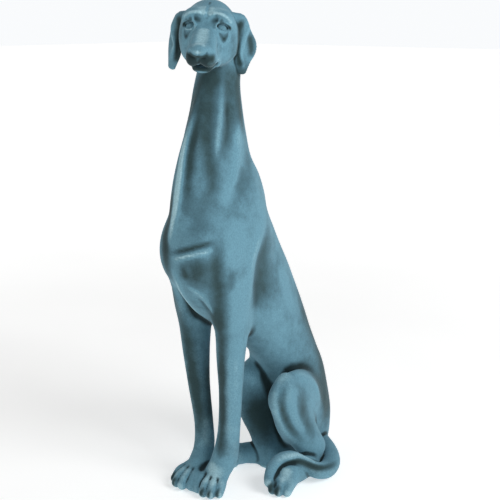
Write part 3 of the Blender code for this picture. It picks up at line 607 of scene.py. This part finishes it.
def head(p):
    """The head with the carving of the face, and the slit of the mouth."""
    q = on_head(p)
    d = head_bulk(q)
    for s in (1, -1):
        d = d + eye_relief(q, s)
        for path, width, height, taper in FACE_LINES:
            d = d + stroke(q, mirrored(path, s), width, height, taper)
        for (x, y, z), width, height in FACE_SPOTS:
            d = d + dimple(q, (s * x, y, z), width, height)
    d = d + stroke(q, FOREHEAD_CREASE, 0.3, -0.3, 0.3)
    d = d + dimple(q, (0.05, -5.1, 2.7), 1.1, -0.28)
    d = d + stroke(q, NOSE_CREASE, 0.2, -0.25)
    mouth = ellipsoid(q, (0.15, -10.1, -4.0), (1.9, 2.2, 0.38))
    return carve(d, mouth, 0.2)


def ear(p, s):
    """A flat leaf hung beside the head, with a ridge down it and a fold behind the ridge."""
    q = on_head(p)
    fold_width = {1: 0.7, -1: 0.6}[s]
    d = limb(q, EARS[s], side=(s * 0.75, 0.65, 0))
    return d + stroke(q, EAR_RIDGES[s], 0.45, 0.4, 0.2) + stroke(q, EAR_FOLDS[s], fold_width, -0.25, 0.3)


def paw(p, base, aim, offsets, reaches, size=1.0):
    """Toes side by side, the middle ones further forward, on a low pad.

    Each runs from its root by its knuckle to its tip, offset to the left of base and reach in front of it.
    """
    a = np.radians(aim)
    forward = np.array([np.sin(a), -np.cos(a)])
    left = np.array([np.cos(a), np.sin(a)])
    middle = base + forward * 0.4
    axes = np.array([[*left, 0], [*-forward, 0], [0, 0, 1]])
    d = ellipsoid(p, (*middle, 1.7 * size), (2.6 * size, 2.9 * size, 1.9 * size), axes)
    for offset, reach in zip(offsets, reaches):
        root = base + left * offset * 0.65 - forward * 0.2
        knuckle = base + left * offset * 0.95 + forward * (reach - 1.5)
        tip = base + left * offset + forward * reach
        toe = [(*root, 3.1 * size, 1.0, 1.3), (*knuckle, 2.45 * size, 1.0, 1.3 * size),
               (*tip, 1.2 * size, 0.92, 1.15 * size)]
        d = join(d, limb(p, toe, side=(*left, 0)), 0.45)
    return d


def haunch(p, s):
    """A folded hind leg: thigh, shin, foot and paw."""
    d = join(limb(p, THIGHS[s]), limb(p, SHINS[s]), 2.2)
    d = join(d, limb(p, FEET[s]), 0.8)
    return join(d, paw(p, *HIND_PAWS[s], 0.9), 0.8)


def bulk(p):
    """The figure without its lines of relief."""
    d = torso(p)
    for s in (1, -1):
        shoulder = ellipsoid(p, (s * 4.2, 2.6, 53.0), (3.2, 7.4, 11.0))
        breast = ellipsoid(p, (s * 3.4, -6.6, 52.0), (3.6, 5.0, 6.5))
        foreleg = join(limb(p, FORELEGS[s]), paw(p, *FOREPAWS[s]), 1.0)
        d = join(join(d, shoulder, 3.0), breast, 3.0)
        d = join(join(d, foreleg, 2.4), haunch(p, s), 2.4)
    d = join(d, head(p), 0.8)
    for s in (1, -1):
        d = join(d, ear(p, s), 0.4)
    return join(d, limb(p, TAIL), 0.5)


def bodily(lines_both, lines, haunch_lines):
    """All lines of the body, with the copies of those that are also on its other side."""
    rows = list(lines)
    for path, width, height in lines_both:
        rows += [(mirrored(path, s), width, height) for s in (1, -1)]
    for path, width, height in haunch_lines:
        across = [(HAUNCH_STEP[0] - x, y + HAUNCH_STEP[1], z) for x, y, z in path]
        rows += [(path, width, height), (across, width, height)]
    return rows


def figure(p):
    """The whole figure, cut off flat at the ground."""
    d = bulk(p)
    for path, width, height in bodily(BOTH_SIDES, BODY_LINES, HAUNCH_LINES):
        d = d + stroke(p, path, width, height, LINE_TAPER)
    return np.maximum(d, -p[:, 2])


def shade_and_nap_amount(points):
    """Painted shade and highlight at each point, partly the nap's brushing: over 0 along dark streaks, under
    0 along pale ones.
    """
    total = np.zeros(len(points))
    for path, width, amount in bodily(SHADES_BOTH, SHADES, HAUNCH_SHADES):
        total -= stroke(points, path, width, amount, SHADE_TAPER)
    q = on_head(points)
    for path, width, amount in HEAD_SHADES:
        for s in (1, -1):
            total -= stroke(q, mirrored(path, s), width, amount)
    for s in (1, -1):
        # Painted highlight along each ear's ridge, and painted shade in the fold behind it.
        total -= stroke(q, EAR_RIDGES[s], 0.4, -1.8, 0.3) + stroke(q, EAR_FOLDS[s], 0.8, 1.4, 0.3)
    return total


# The figure's mesh


def cell_size(z, sizes):
    """Length of a mesh cell at height z: fine at the feet and the head, coarser on the body between them."""
    body, fine, feet = sizes.body_cell, sizes.head_cell, sizes.feet_cell
    cell = np.interp(z, CELL_HEIGHTS, [feet, feet, body, body, fine, fine])
    return cell * 1


def warped_grid(sizes):
    """Levels one cell apart, and on each a square net of that cell round the middle of the figure there."""
    levels = [NET_BOTTOM]
    while levels[-1] < NET_TOP:
        levels.append(levels[-1] + float(cell_size(levels[-1], sizes)))
    z = np.array(levels)
    cell = cell_size(z, sizes)
    heights, left, right, front, back = np.array(GRID_ROOM).T
    sides = [np.interp(z, heights, side) for side in (left, right, front, back)]
    count_x = int(np.max((sides[1] - sides[0]) / cell)) + 2
    count_y = int(np.max((sides[3] - sides[2]) / cell)) + 2
    x = (sides[0] + sides[1]) / 2 + (np.arange(count_x)[:, None] - count_x / 2) * cell
    y = (sides[2] + sides[3]) / 2 + (np.arange(count_y)[:, None] - count_y / 2) * cell
    shape = (count_x, count_y, len(z))
    net = np.empty(shape + (3,), np.float32)
    net[..., 0], net[..., 1], net[..., 2] = x[:, None, :], y[None, :, :], z
    return net, cell


def field_on(net, cell):
    """The distance field at the nodes near the surface, and elsewhere its sign, from the coarse nodes."""
    shape, step = net.shape[:3], COARSE_STEP
    coarse = np.ix_(*(np.arange(0, n + step - 1, step).clip(max=n - 1) for n in shape))
    rough = figure(net[coarse].reshape(-1, 3).astype(float)).reshape([side.size for side in coarse])
    near = np.abs(rough) < NEAR_CELLS * cell[coarse[2].ravel()]
    block = np.zeros([n - 1 for n in rough.shape], bool)
    for corner in np.ndindex(2, 2, 2):
        block |= near[tuple(slice(c, n - 1 + c) for c, n in zip(corner, rough.shape))]

    def spread(a):
        """Each coarse value on all the nodes of its block."""
        return a.repeat(step, 0).repeat(step, 1).repeat(step, 2)[: shape[0], : shape[1], : shape[2]]

    wanted, value = np.zeros(shape, bool), np.ones(shape, np.float32)
    filled = spread(block)
    part = tuple(slice(0, n) for n in filled.shape)
    wanted[part] = filled
    value[part] = spread(rough[:-1, :-1, :-1])
    value[wanted] = figure(net[wanted].astype(float))
    return value


def surface_net(net, value):
    """One point in each cell that the surface crosses, at the mean of the crossings on its edges.

    Each crossed edge of the net has a face, of the points of the four cells round it.
    """
    inside = value < 0
    shape = value.shape
    count = sum(
        inside[tuple(slice(c, n - 1 + c) for c, n in zip(corner, shape))].astype(np.int8)
        for corner in np.ndindex(2, 2, 2)
    )
    crossed = (count > 0) & (count < 8)
    cells = np.argwhere(crossed)
    total, number = np.zeros((len(cells), 3)), np.zeros(len(cells))
    for axis in range(3):
        for corner in np.ndindex(2, 2, 2):
            if corner[axis]:
                continue
            near, far = cells + corner, cells + corner
            far[:, axis] += 1
            near, far = tuple(near.T), tuple(far.T)
            a, b = value[near], value[far]
            cut = (a < 0) != (b < 0)
            share = np.where(cut, a / np.where(cut, a - b, 1), 0)[:, None]
            total += np.where(cut[:, None], net[near] * (1 - share) + net[far] * share, 0)
            number += cut
    index = np.full(crossed.shape, -1)
    index[crossed] = np.arange(len(cells))
    faces = []
    for axis in range(3):
        one, two = (axis + 1) % 3, (axis + 2) % 3
        lower = tuple(slice(None, -1) if k == axis else slice(None) for k in range(3))
        upper = tuple(slice(1, None) if k == axis else slice(None) for k in range(3))
        edges = np.argwhere(inside[lower] != inside[upper])
        for k in (one, two):
            edges = edges[(edges[:, k] > 0) & (edges[:, k] < shape[k] - 1)]
        ring = []
        for back_one, back_two in ((1, 1), (0, 1), (0, 0), (1, 0)):
            place = edges.copy()
            place[:, one] -= back_one
            place[:, two] -= back_two
            ring.append(index[tuple(place.T)])
        ring = np.column_stack(ring)
        outward = inside[tuple(edges.T)]
        ring[~outward] = ring[~outward][:, ::-1]
        faces.append(ring)
    return total / number[:, None], np.vstack(faces)


def neighbour_mean(values, faces, rounds, share=0.5):
    """Each row moved by share towards the mean of its neighbours along the edges, that many rounds."""
    ends = np.vstack([faces[:, [k, (k + 1) % 4]] for k in range(4)])
    one, two, count = ends[:, 0], ends[:, 1], len(values)
    number = np.bincount(one, minlength=count) + np.bincount(two, minlength=count)
    for _ in range(rounds):
        total = np.zeros_like(values)
        for k in range(values.shape[1]):
            total[:, k] = np.bincount(one, values[two, k], count) + np.bincount(two, values[one, k], count)
        values = values + share * (total / number[:, None] - values)
    return values


def point_normals(points, faces):
    """The mean of the normals of the faces round each point, each by its area."""
    across = np.cross(points[faces[:, 2]] - points[faces[:, 0]], points[faces[:, 3]] - points[faces[:, 1]])
    total = np.zeros_like(points)
    for k in range(4):
        for column in range(3):
            total[:, column] += np.bincount(faces[:, k], across[:, column], len(points))
    return unit(total + 1e-12)


def settled(points, faces):
    """The points smoothed a little and put back on the surface along their normals, feet on the ground."""
    points = neighbour_mean(points, faces, 2)
    for _ in range(SETTLE_ROUNDS):
        shift = figure(points)[:, None].clip(-MOST_SHIFT, MOST_SHIFT)
        points = points - point_normals(points, faces) * shift
    points[:, 2] = points[:, 2].clip(0, None)
    return points


def relief_of(points, faces, rounds):
    """How far each point stands out from its smoothed surroundings: over 0 on ridges, under 0 in hollows."""
    out = ((points - neighbour_mean(points, faces, rounds)) * point_normals(points, faces)).sum(1)
    return neighbour_mean(out[:, None], faces, EVEN_ROUNDS)[:, 0]


def placed(points):
    """Hundredths of the height turned into metres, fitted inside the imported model's box on its floor."""
    low, high = points.min(0), points.max(0)
    scale = FIGURE_HEIGHT / (high[2] - low[2])
    fit = np.minimum(scale, FIT_SHARE * (HIGHEST - LOWEST) / (high - low))
    middle, target = (low + high) / 2, (LOWEST + HIGHEST) / 2
    middle[2], target[2] = low[2], LOWEST[2]
    return (points - middle) * fit + target


def new_mesh_piece(name, points, faces, smooth=True):
    """A mesh object of these points and four-sided faces, its place in its mesh."""
    mesh = bpy.data.meshes.new(name)
    mesh.vertices.add(len(points))
    mesh.vertices.foreach_set("co", np.asarray(points, np.float32).ravel())
    mesh.loops.add(faces.size)
    mesh.loops.foreach_set("vertex_index", faces.astype(np.int32).ravel())
    mesh.polygons.add(len(faces))
    mesh.polygons.foreach_set("loop_start", np.arange(0, faces.size, 4, dtype=np.int32))
    mesh.polygons.foreach_set("loop_total", np.full(len(faces), 4, np.int32))
    mesh.polygons.foreach_set("use_smooth", np.full(len(faces), smooth))
    mesh.update(calc_edges=True)
    if mesh.validate():
        raise RuntimeError(f"{name}: the mesh had faults")
    piece = bpy.data.objects.new(name, mesh)
    bpy.context.scene.collection.objects.link(piece)
    return piece


def add_point_values(piece, name, values):
    """A number at each point of the mesh, which the material reads by that name."""
    layer = piece.data.attributes.new(name, "FLOAT", "POINT")
    layer.data.foreach_set("value", np.asarray(values, np.float32))


# Materials


def set_inputs(node, values):
    """Give the node's inputs, by name or place, their plain values."""
    for key, value in values.items():
        node.inputs[key].default_value = value


def add_node(tree, kind, inputs=None, **settings):
    """A node of that kind, with its own settings and its inputs' plain values."""
    node = tree.nodes.new(kind)
    for name, value in settings.items():
        setattr(node, name, value)
    set_inputs(node, inputs or {})
    return node


def new_material(name, inputs):
    """A material of that name, its node tree, and its shader with these inputs."""
    material = bpy.data.materials.new(name)
    material.use_nodes = True
    shader = material.node_tree.nodes["Principled BSDF"]
    set_inputs(shader, inputs)
    return material, material.node_tree, shader


def ranged(tree, value, low, high, to_low=0.0, to_high=1.0):
    """The value mapped from low..high to to_low..to_high, smoothly and never past either end."""
    ends = {1: low, 2: high, 3: to_low, 4: to_high}
    node = add_node(tree, "ShaderNodeMapRange", ends, interpolation_type="SMOOTHSTEP")
    tree.links.new(value, node.inputs[0])
    return node.outputs[0]


def mixed(tree, share, first, second):
    """Two colours mixed by a share; each is a socket or a plain colour."""
    node = add_node(tree, "ShaderNodeMix", data_type="RGBA")
    for place, value in ((0, share), (6, first), (7, second)):
        if hasattr(value, "node"):
            tree.links.new(value, node.inputs[place])
        else:
            node.inputs[place].default_value = value
    return node.outputs[2]


def summed(tree, first, second, factor=1.0):
    """first plus second times factor."""
    node = add_node(tree, "ShaderNodeMath", {1: factor}, operation="MULTIPLY_ADD")
    tree.links.new(second, node.inputs[0])
    tree.links.new(first, node.inputs[2])
    return node.outputs[0]


def noise(tree, scale, detail, roughness=0.55):
    """Soft noise on Object coordinates."""
    place = add_node(tree, "ShaderNodeTexCoord")
    node = add_node(tree, "ShaderNodeTexNoise", {"Scale": scale, "Detail": detail, "Roughness": roughness})
    tree.links.new(place.outputs["Object"], node.inputs["Vector"])
    return node.outputs["Fac"]


def point_value(tree, name):
    """The number that the mesh holds at each point by that name."""
    return add_node(tree, "ShaderNodeAttribute", attribute_name=name).outputs["Fac"]


def colour(value):
    """A property's colour as four numbers."""
    return tuple(value)[:3] + (1.0,)


def flock_material(look):
    """Short dense nap with light painted in: worn and highlighted pale on the ridges, painted shade in the
    hollows, streaks of painted shade and highlight.
    """
    material, tree, shader = new_material("teal_flock", {
        "Roughness": 0.85, "Specular IOR Level": 0.2, "Sheen Weight": 0.25, "Sheen Roughness": 0.42,
        "Sheen Tint": (0.62, 0.83, 0.92, 1.0)})
    clouds, patches = noise(tree, 22, 4), noise(tree, 75, 5, 0.65)
    specks, nap = noise(tree, 420, 3, 0.6), noise(tree, 1500, 2, 0.6)
    # How dark the painted shade and the nap's streaks make it, broken up: pale (painted highlight and pale
    # nap) under 0.8, the flock's own colour from 1.6.
    shade_and_nap = summed(tree, point_value(tree, "shade_and_nap"), clouds, 1.3)
    shade_and_nap = summed(tree, shade_and_nap, patches, 0.8)
    tone = mixed(tree, ranged(tree, shade_and_nap, 0.8, 1.6), colour(look.flock_pale_nap_and_highlight), colour(look.flock))
    # Rubbed wear and painted highlight on the ridges and where the streaks are palest.
    ridge_wear_and_highlight = summed(tree, point_value(tree, "ridge_wear_and_highlight"), specks, -0.3)
    ridge_wear_and_highlight = summed(tree, ridge_wear_and_highlight, ranged(tree, shade_and_nap, -0.9, 0.6, 1.0, 0.0))
    tone = mixed(tree, ranged(tree, ridge_wear_and_highlight, 0.0, 1.1, 0.0, 0.9), tone, colour(look.flock_wear_and_highlight))
    # Dark nap and painted shade along the dark streaks.
    tone = mixed(tree, ranged(tree, shade_and_nap, 1.3, 2.5), tone, colour(look.flock_dark_nap_and_shade))
    # Painted shade deep in the hollows and in the darkest streaks, and dark specks all over.
    hollow_shade = summed(tree, point_value(tree, "hollow_shade"), patches, -0.35)
    hollow_shade = summed(tree, hollow_shade, ranged(tree, shade_and_nap, 2.2, 3.2), 0.7)
    tone = mixed(tree, ranged(tree, hollow_shade, -0.05, 0.9), tone, colour(look.flock_specks_and_shade))
    tone = mixed(tree, ranged(tree, specks, 0.3, 0.75, 0.0, 0.22), tone, colour(look.flock_specks_and_shade))
    tree.links.new(tone, shader.inputs["Base Color"])
    height = summed(tree, nap, specks, 1.6)
    bump = add_node(tree, "ShaderNodeBump", {"Strength": 0.35, "Distance": 0.0006})
    tree.links.new(height, bump.inputs["Height"])
    tree.links.new(bump.outputs[0], shader.inputs["Normal"])
    return material


def floor_material(look):
    """Plain pale board, faintly clouded, with a weak glow that grows further off."""
    material, tree, shader = new_material("pale_floor", {"Roughness": 0.9, "Emission Color": (1, 1, 1, 1)})
    pale = colour(look.floor)
    darker = tuple(0.96 * c for c in pale[:3]) + (1.0,)
    tone = mixed(tree, ranged(tree, noise(tree, 3, 2), 0.3, 0.7), pale, darker)
    tree.links.new(tone, shader.inputs["Base Color"])
    place = add_node(tree, "ShaderNodeTexCoord")
    far = add_node(tree, "ShaderNodeVectorMath", operation="LENGTH")
    tree.links.new(place.outputs["Object"], far.inputs[0])
    glow = ranged(tree, far.outputs["Value"], 0.5, 2.5, 0.52, 0.74)
    tree.links.new(glow, shader.inputs["Emission Strength"])
    return material


def studio_world(look):
    """A soft light from all round, with a bright band low down, brightest behind the figure."""
    world = bpy.data.worlds.new("studio")
    world.use_nodes = True
    tree = world.node_tree
    way = add_node(tree, "ShaderNodeTexCoord")
    parts = add_node(tree, "ShaderNodeSeparateXYZ")
    tree.links.new(way.outputs["Generated"], parts.inputs[0])
    band = ranged(tree, parts.outputs["Z"], 0.1, 0.4, 1.0, 0.0)
    behind = summed(tree, parts.outputs["Y"], parts.outputs["X"], -0.9)
    screen = add_node(tree, "ShaderNodeMath", operation="MULTIPLY")
    tree.links.new(band, screen.inputs[0])
    tree.links.new(ranged(tree, behind, 0.1, 0.8, 0.45, 1.0), screen.inputs[1])
    strength = ranged(tree, screen.outputs[0], 0.0, 1.0, look.sky, 0.98)
    background = tree.nodes["Background"]
    background.inputs["Color"].default_value = (0.97, 0.985, 1.0, 1.0)
    tree.links.new(strength, background.inputs["Strength"])
    return world


# Settings, operators and panel


class HoundSizes(bpy.types.PropertyGroup):
    """How fine the figure's mesh is"""

    head_cell: bpy.props.FloatProperty(
        name="Head cell", description="Mesh cell on the head, in hundredths of the height",
        default=0.19, min=0.1, max=1)
    body_cell: bpy.props.FloatProperty(
        name="Body cell", description="Mesh cell on the body, in hundredths of the height",
        default=0.56, min=0.2, max=2)
    feet_cell: bpy.props.FloatProperty(
        name="Feet cell", description="Mesh cell on the feet and tail, in hundredths of the height",
        default=0.33, min=0.1, max=1)


class HoundLook(bpy.types.PropertyGroup):
    """Colours of the nap, with its painted shade and highlight, and of the floor, and the lights"""

    flock: bpy.props.FloatVectorProperty(
        name="Flock", description="Main colour of the nap", subtype="COLOR", size=3,
        default=(0.085, 0.185, 0.235))
    # Pale nap, and the painted highlight of the palest streaks.
    flock_pale_nap_and_highlight: bpy.props.FloatVectorProperty(
        name="Pale flock", description="Nap lying towards the light", subtype="COLOR", size=3,
        default=(0.15, 0.32, 0.405))
    # Dark nap, and the painted shade of the dark streaks.
    flock_dark_nap_and_shade: bpy.props.FloatVectorProperty(
        name="Dark flock", description="Nap brushed the other way", subtype="COLOR", size=3,
        default=(0.033, 0.068, 0.074))
    # Painted shade deep in the hollows and the darkest streaks, and dark specks.
    flock_specks_and_shade: bpy.props.FloatVectorProperty(
        name="Deep flock", description="Nap in the hollows", subtype="COLOR", size=3,
        default=(0.009, 0.022, 0.024))
    # Rubbed wear on the ridges, with painted highlight.
    flock_wear_and_highlight: bpy.props.FloatVectorProperty(
        name="Rubbed flock", description="Nap on the ridges", subtype="COLOR", size=3,
        default=(0.41, 0.65, 0.72))
    floor: bpy.props.FloatVectorProperty(
        name="Floor", description="Colour of the floor", subtype="COLOR", size=3, default=(0.83, 0.82, 0.8))
    key_power: bpy.props.FloatProperty(
        name="Key light", description="Power of the large light", default=36, min=0, unit="POWER")
    fill_power: bpy.props.FloatProperty(
        name="Fill light", description="Power of the weak light on the other side",
        default=4, min=0, unit="POWER")
    sky: bpy.props.FloatProperty(
        name="Sky", description="Brightness of the light from all round", default=0.3, min=0)


class HOUND_OT_figure(bpy.types.Operator):
    """Carve the seated hound as one surface and give it its flocked coat"""

    bl_idname = "hound.figure"
    bl_label = "Hound"

    def execute(self, context):
        sizes, look = context.scene.hound_sizes, context.scene.hound_look
        net, cell = warped_grid(sizes)
        points, faces = surface_net(net, field_on(net, cell))
        points = settled(points, faces)
        if len(faces) * 2 > MOST_TRIANGLES:
            raise RuntimeError(f"the figure has {2 * len(faces)} triangles, over {MOST_TRIANGLES}")
        fine, broad = relief_of(points, faces, FINE_ROUNDS), relief_of(points, faces, BROAD_ROUNDS)
        # Pale on fine ridges: rubbed wear and painted highlight; dark in fine and broad hollows: painted
        # shade.
        ridge_wear_and_highlight = fine * np.interp(points[:, 2], GAIN_HEIGHTS, RIDGE_GAIN) - RIDGE_START
        hollow_shade = -fine * np.interp(points[:, 2], GAIN_HEIGHTS, HOLLOW_SHADE_GAIN) - broad * BROAD_SHADE_GAIN
        piece = new_mesh_piece("flocked_hound", placed(points), faces)
        add_point_values(piece, "ridge_wear_and_highlight", ridge_wear_and_highlight.clip(0, 1))
        add_point_values(piece, "hollow_shade", hollow_shade.clip(0, 1))
        add_point_values(piece, "shade_and_nap", shade_and_nap_amount(points))
        piece.data.materials.append(flock_material(look))
        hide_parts(FIGURE_NODE)
        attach(piece, "root")
        return {"FINISHED"}


def set_up(name, data, place, facing):
    """A light or a camera with this data at a place, turned along facing."""
    thing = bpy.data.objects.new(name, data)
    thing.location = place
    thing.rotation_euler = facing.to_track_quat("-Z", "Y").to_euler()
    bpy.context.scene.collection.objects.link(thing)
    return thing


def add_light(name, place, aim, width, power, tone):
    """A square soft light at a place, facing another."""
    data = bpy.data.lights.new(name, "AREA")
    data.shape, data.size, data.energy, data.color = "SQUARE", width, power, tone
    set_up(name, data, place, Vector(aim) - Vector(place))


def add_camera():
    """The camera of the photograph, on a circle round the place where the form's x and y are 0."""
    unit_length = FIGURE_HEIGHT / FORM_TOP
    turned = np.radians(CAMERA_TURN)
    base = (LOWEST + HIGHEST) / 2 - np.array([*FORM_MIDDLE, 0]) * unit_length
    base[2] = LOWEST[2]
    away = np.array([CAMERA_DISTANCE * np.sin(turned), -CAMERA_DISTANCE * np.cos(turned), CAMERA_HEIGHT])
    place = base + unit_length * away
    aim = base + unit_length * np.array([0, 0, CAMERA_AIM])
    data = bpy.data.cameras.new("photo_camera")
    data.sensor_width, data.sensor_fit = SENSOR_WIDTH, "HORIZONTAL"
    data.lens = CAMERA_FOCAL * SENSOR_WIDTH / PICTURE_WIDTH
    data.shift_x, data.shift_y = CAMERA_SHIFT
    data.clip_end = 60
    bpy.context.scene.camera = set_up("photo_camera", data, place, Vector(aim - place))


class HOUND_OT_stage(bpy.types.Operator):
    """Set the plain pale floor, the soft light and the camera"""

    bl_idname = "hound.stage"
    bl_label = "Stage"

    def execute(self, context):
        look = context.scene.hound_look
        side = (-FLOOR_REACH, FLOOR_REACH)
        points = [(x, y, LOWEST[2]) for x in side for y in side]
        floor = new_mesh_piece("floor", points, np.array([[0, 2, 3, 1]]), smooth=False)
        floor.data.materials.append(floor_material(look))
        middle = (0.0, 0.0, 0.5 * FIGURE_HEIGHT)
        add_light("key_light", (2.0, 0.1, 1.75), middle, 1.3, look.key_power, (0.94, 0.97, 1.0))
        add_light("fill_light", (-1.9, -1.6, 0.9), middle, 1.6, look.fill_power, (1.0, 0.94, 0.86))
        context.scene.world = studio_world(look)
        context.scene.view_settings.view_transform = "Standard"
        add_camera()
        return {"FINISHED"}


class HOUND_PT_panel(bpy.types.Panel):
    """Sizes, colours and pieces of the flocked hound"""

    bl_label = "Flocked Hound"
    bl_idname = "HOUND_PT_panel"
    bl_space_type = "VIEW_3D"
    bl_region_type = "UI"
    bl_category = "Hound"

    def draw(self, context):
        for group in (context.scene.hound_sizes, context.scene.hound_look):
            box = self.layout.box()
            for name in group.__annotations__:
                box.prop(group, name)
        for operator in (HOUND_OT_figure, HOUND_OT_stage):
            self.layout.operator(operator.bl_idname)


CLASSES = (HoundSizes, HoundLook, HOUND_OT_figure, HOUND_OT_stage, HOUND_PT_panel)


def register():
    """Make the settings, operators and panel known."""
    for kind in CLASSES:
        bpy.utils.register_class(kind)
    bpy.types.Scene.hound_sizes = bpy.props.PointerProperty(type=HoundSizes)
    bpy.types.Scene.hound_look = bpy.props.PointerProperty(type=HoundLook)


def unregister():
    """Take them away again."""
    del bpy.types.Scene.hound_sizes, bpy.types.Scene.hound_look
    for kind in reversed(CLASSES):
        bpy.utils.unregister_class(kind)


def main():
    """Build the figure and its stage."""
    register()
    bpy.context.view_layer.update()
    bpy.ops.hound.figure()
    bpy.ops.hound.stage()


if __name__ == "__main__":
    main()
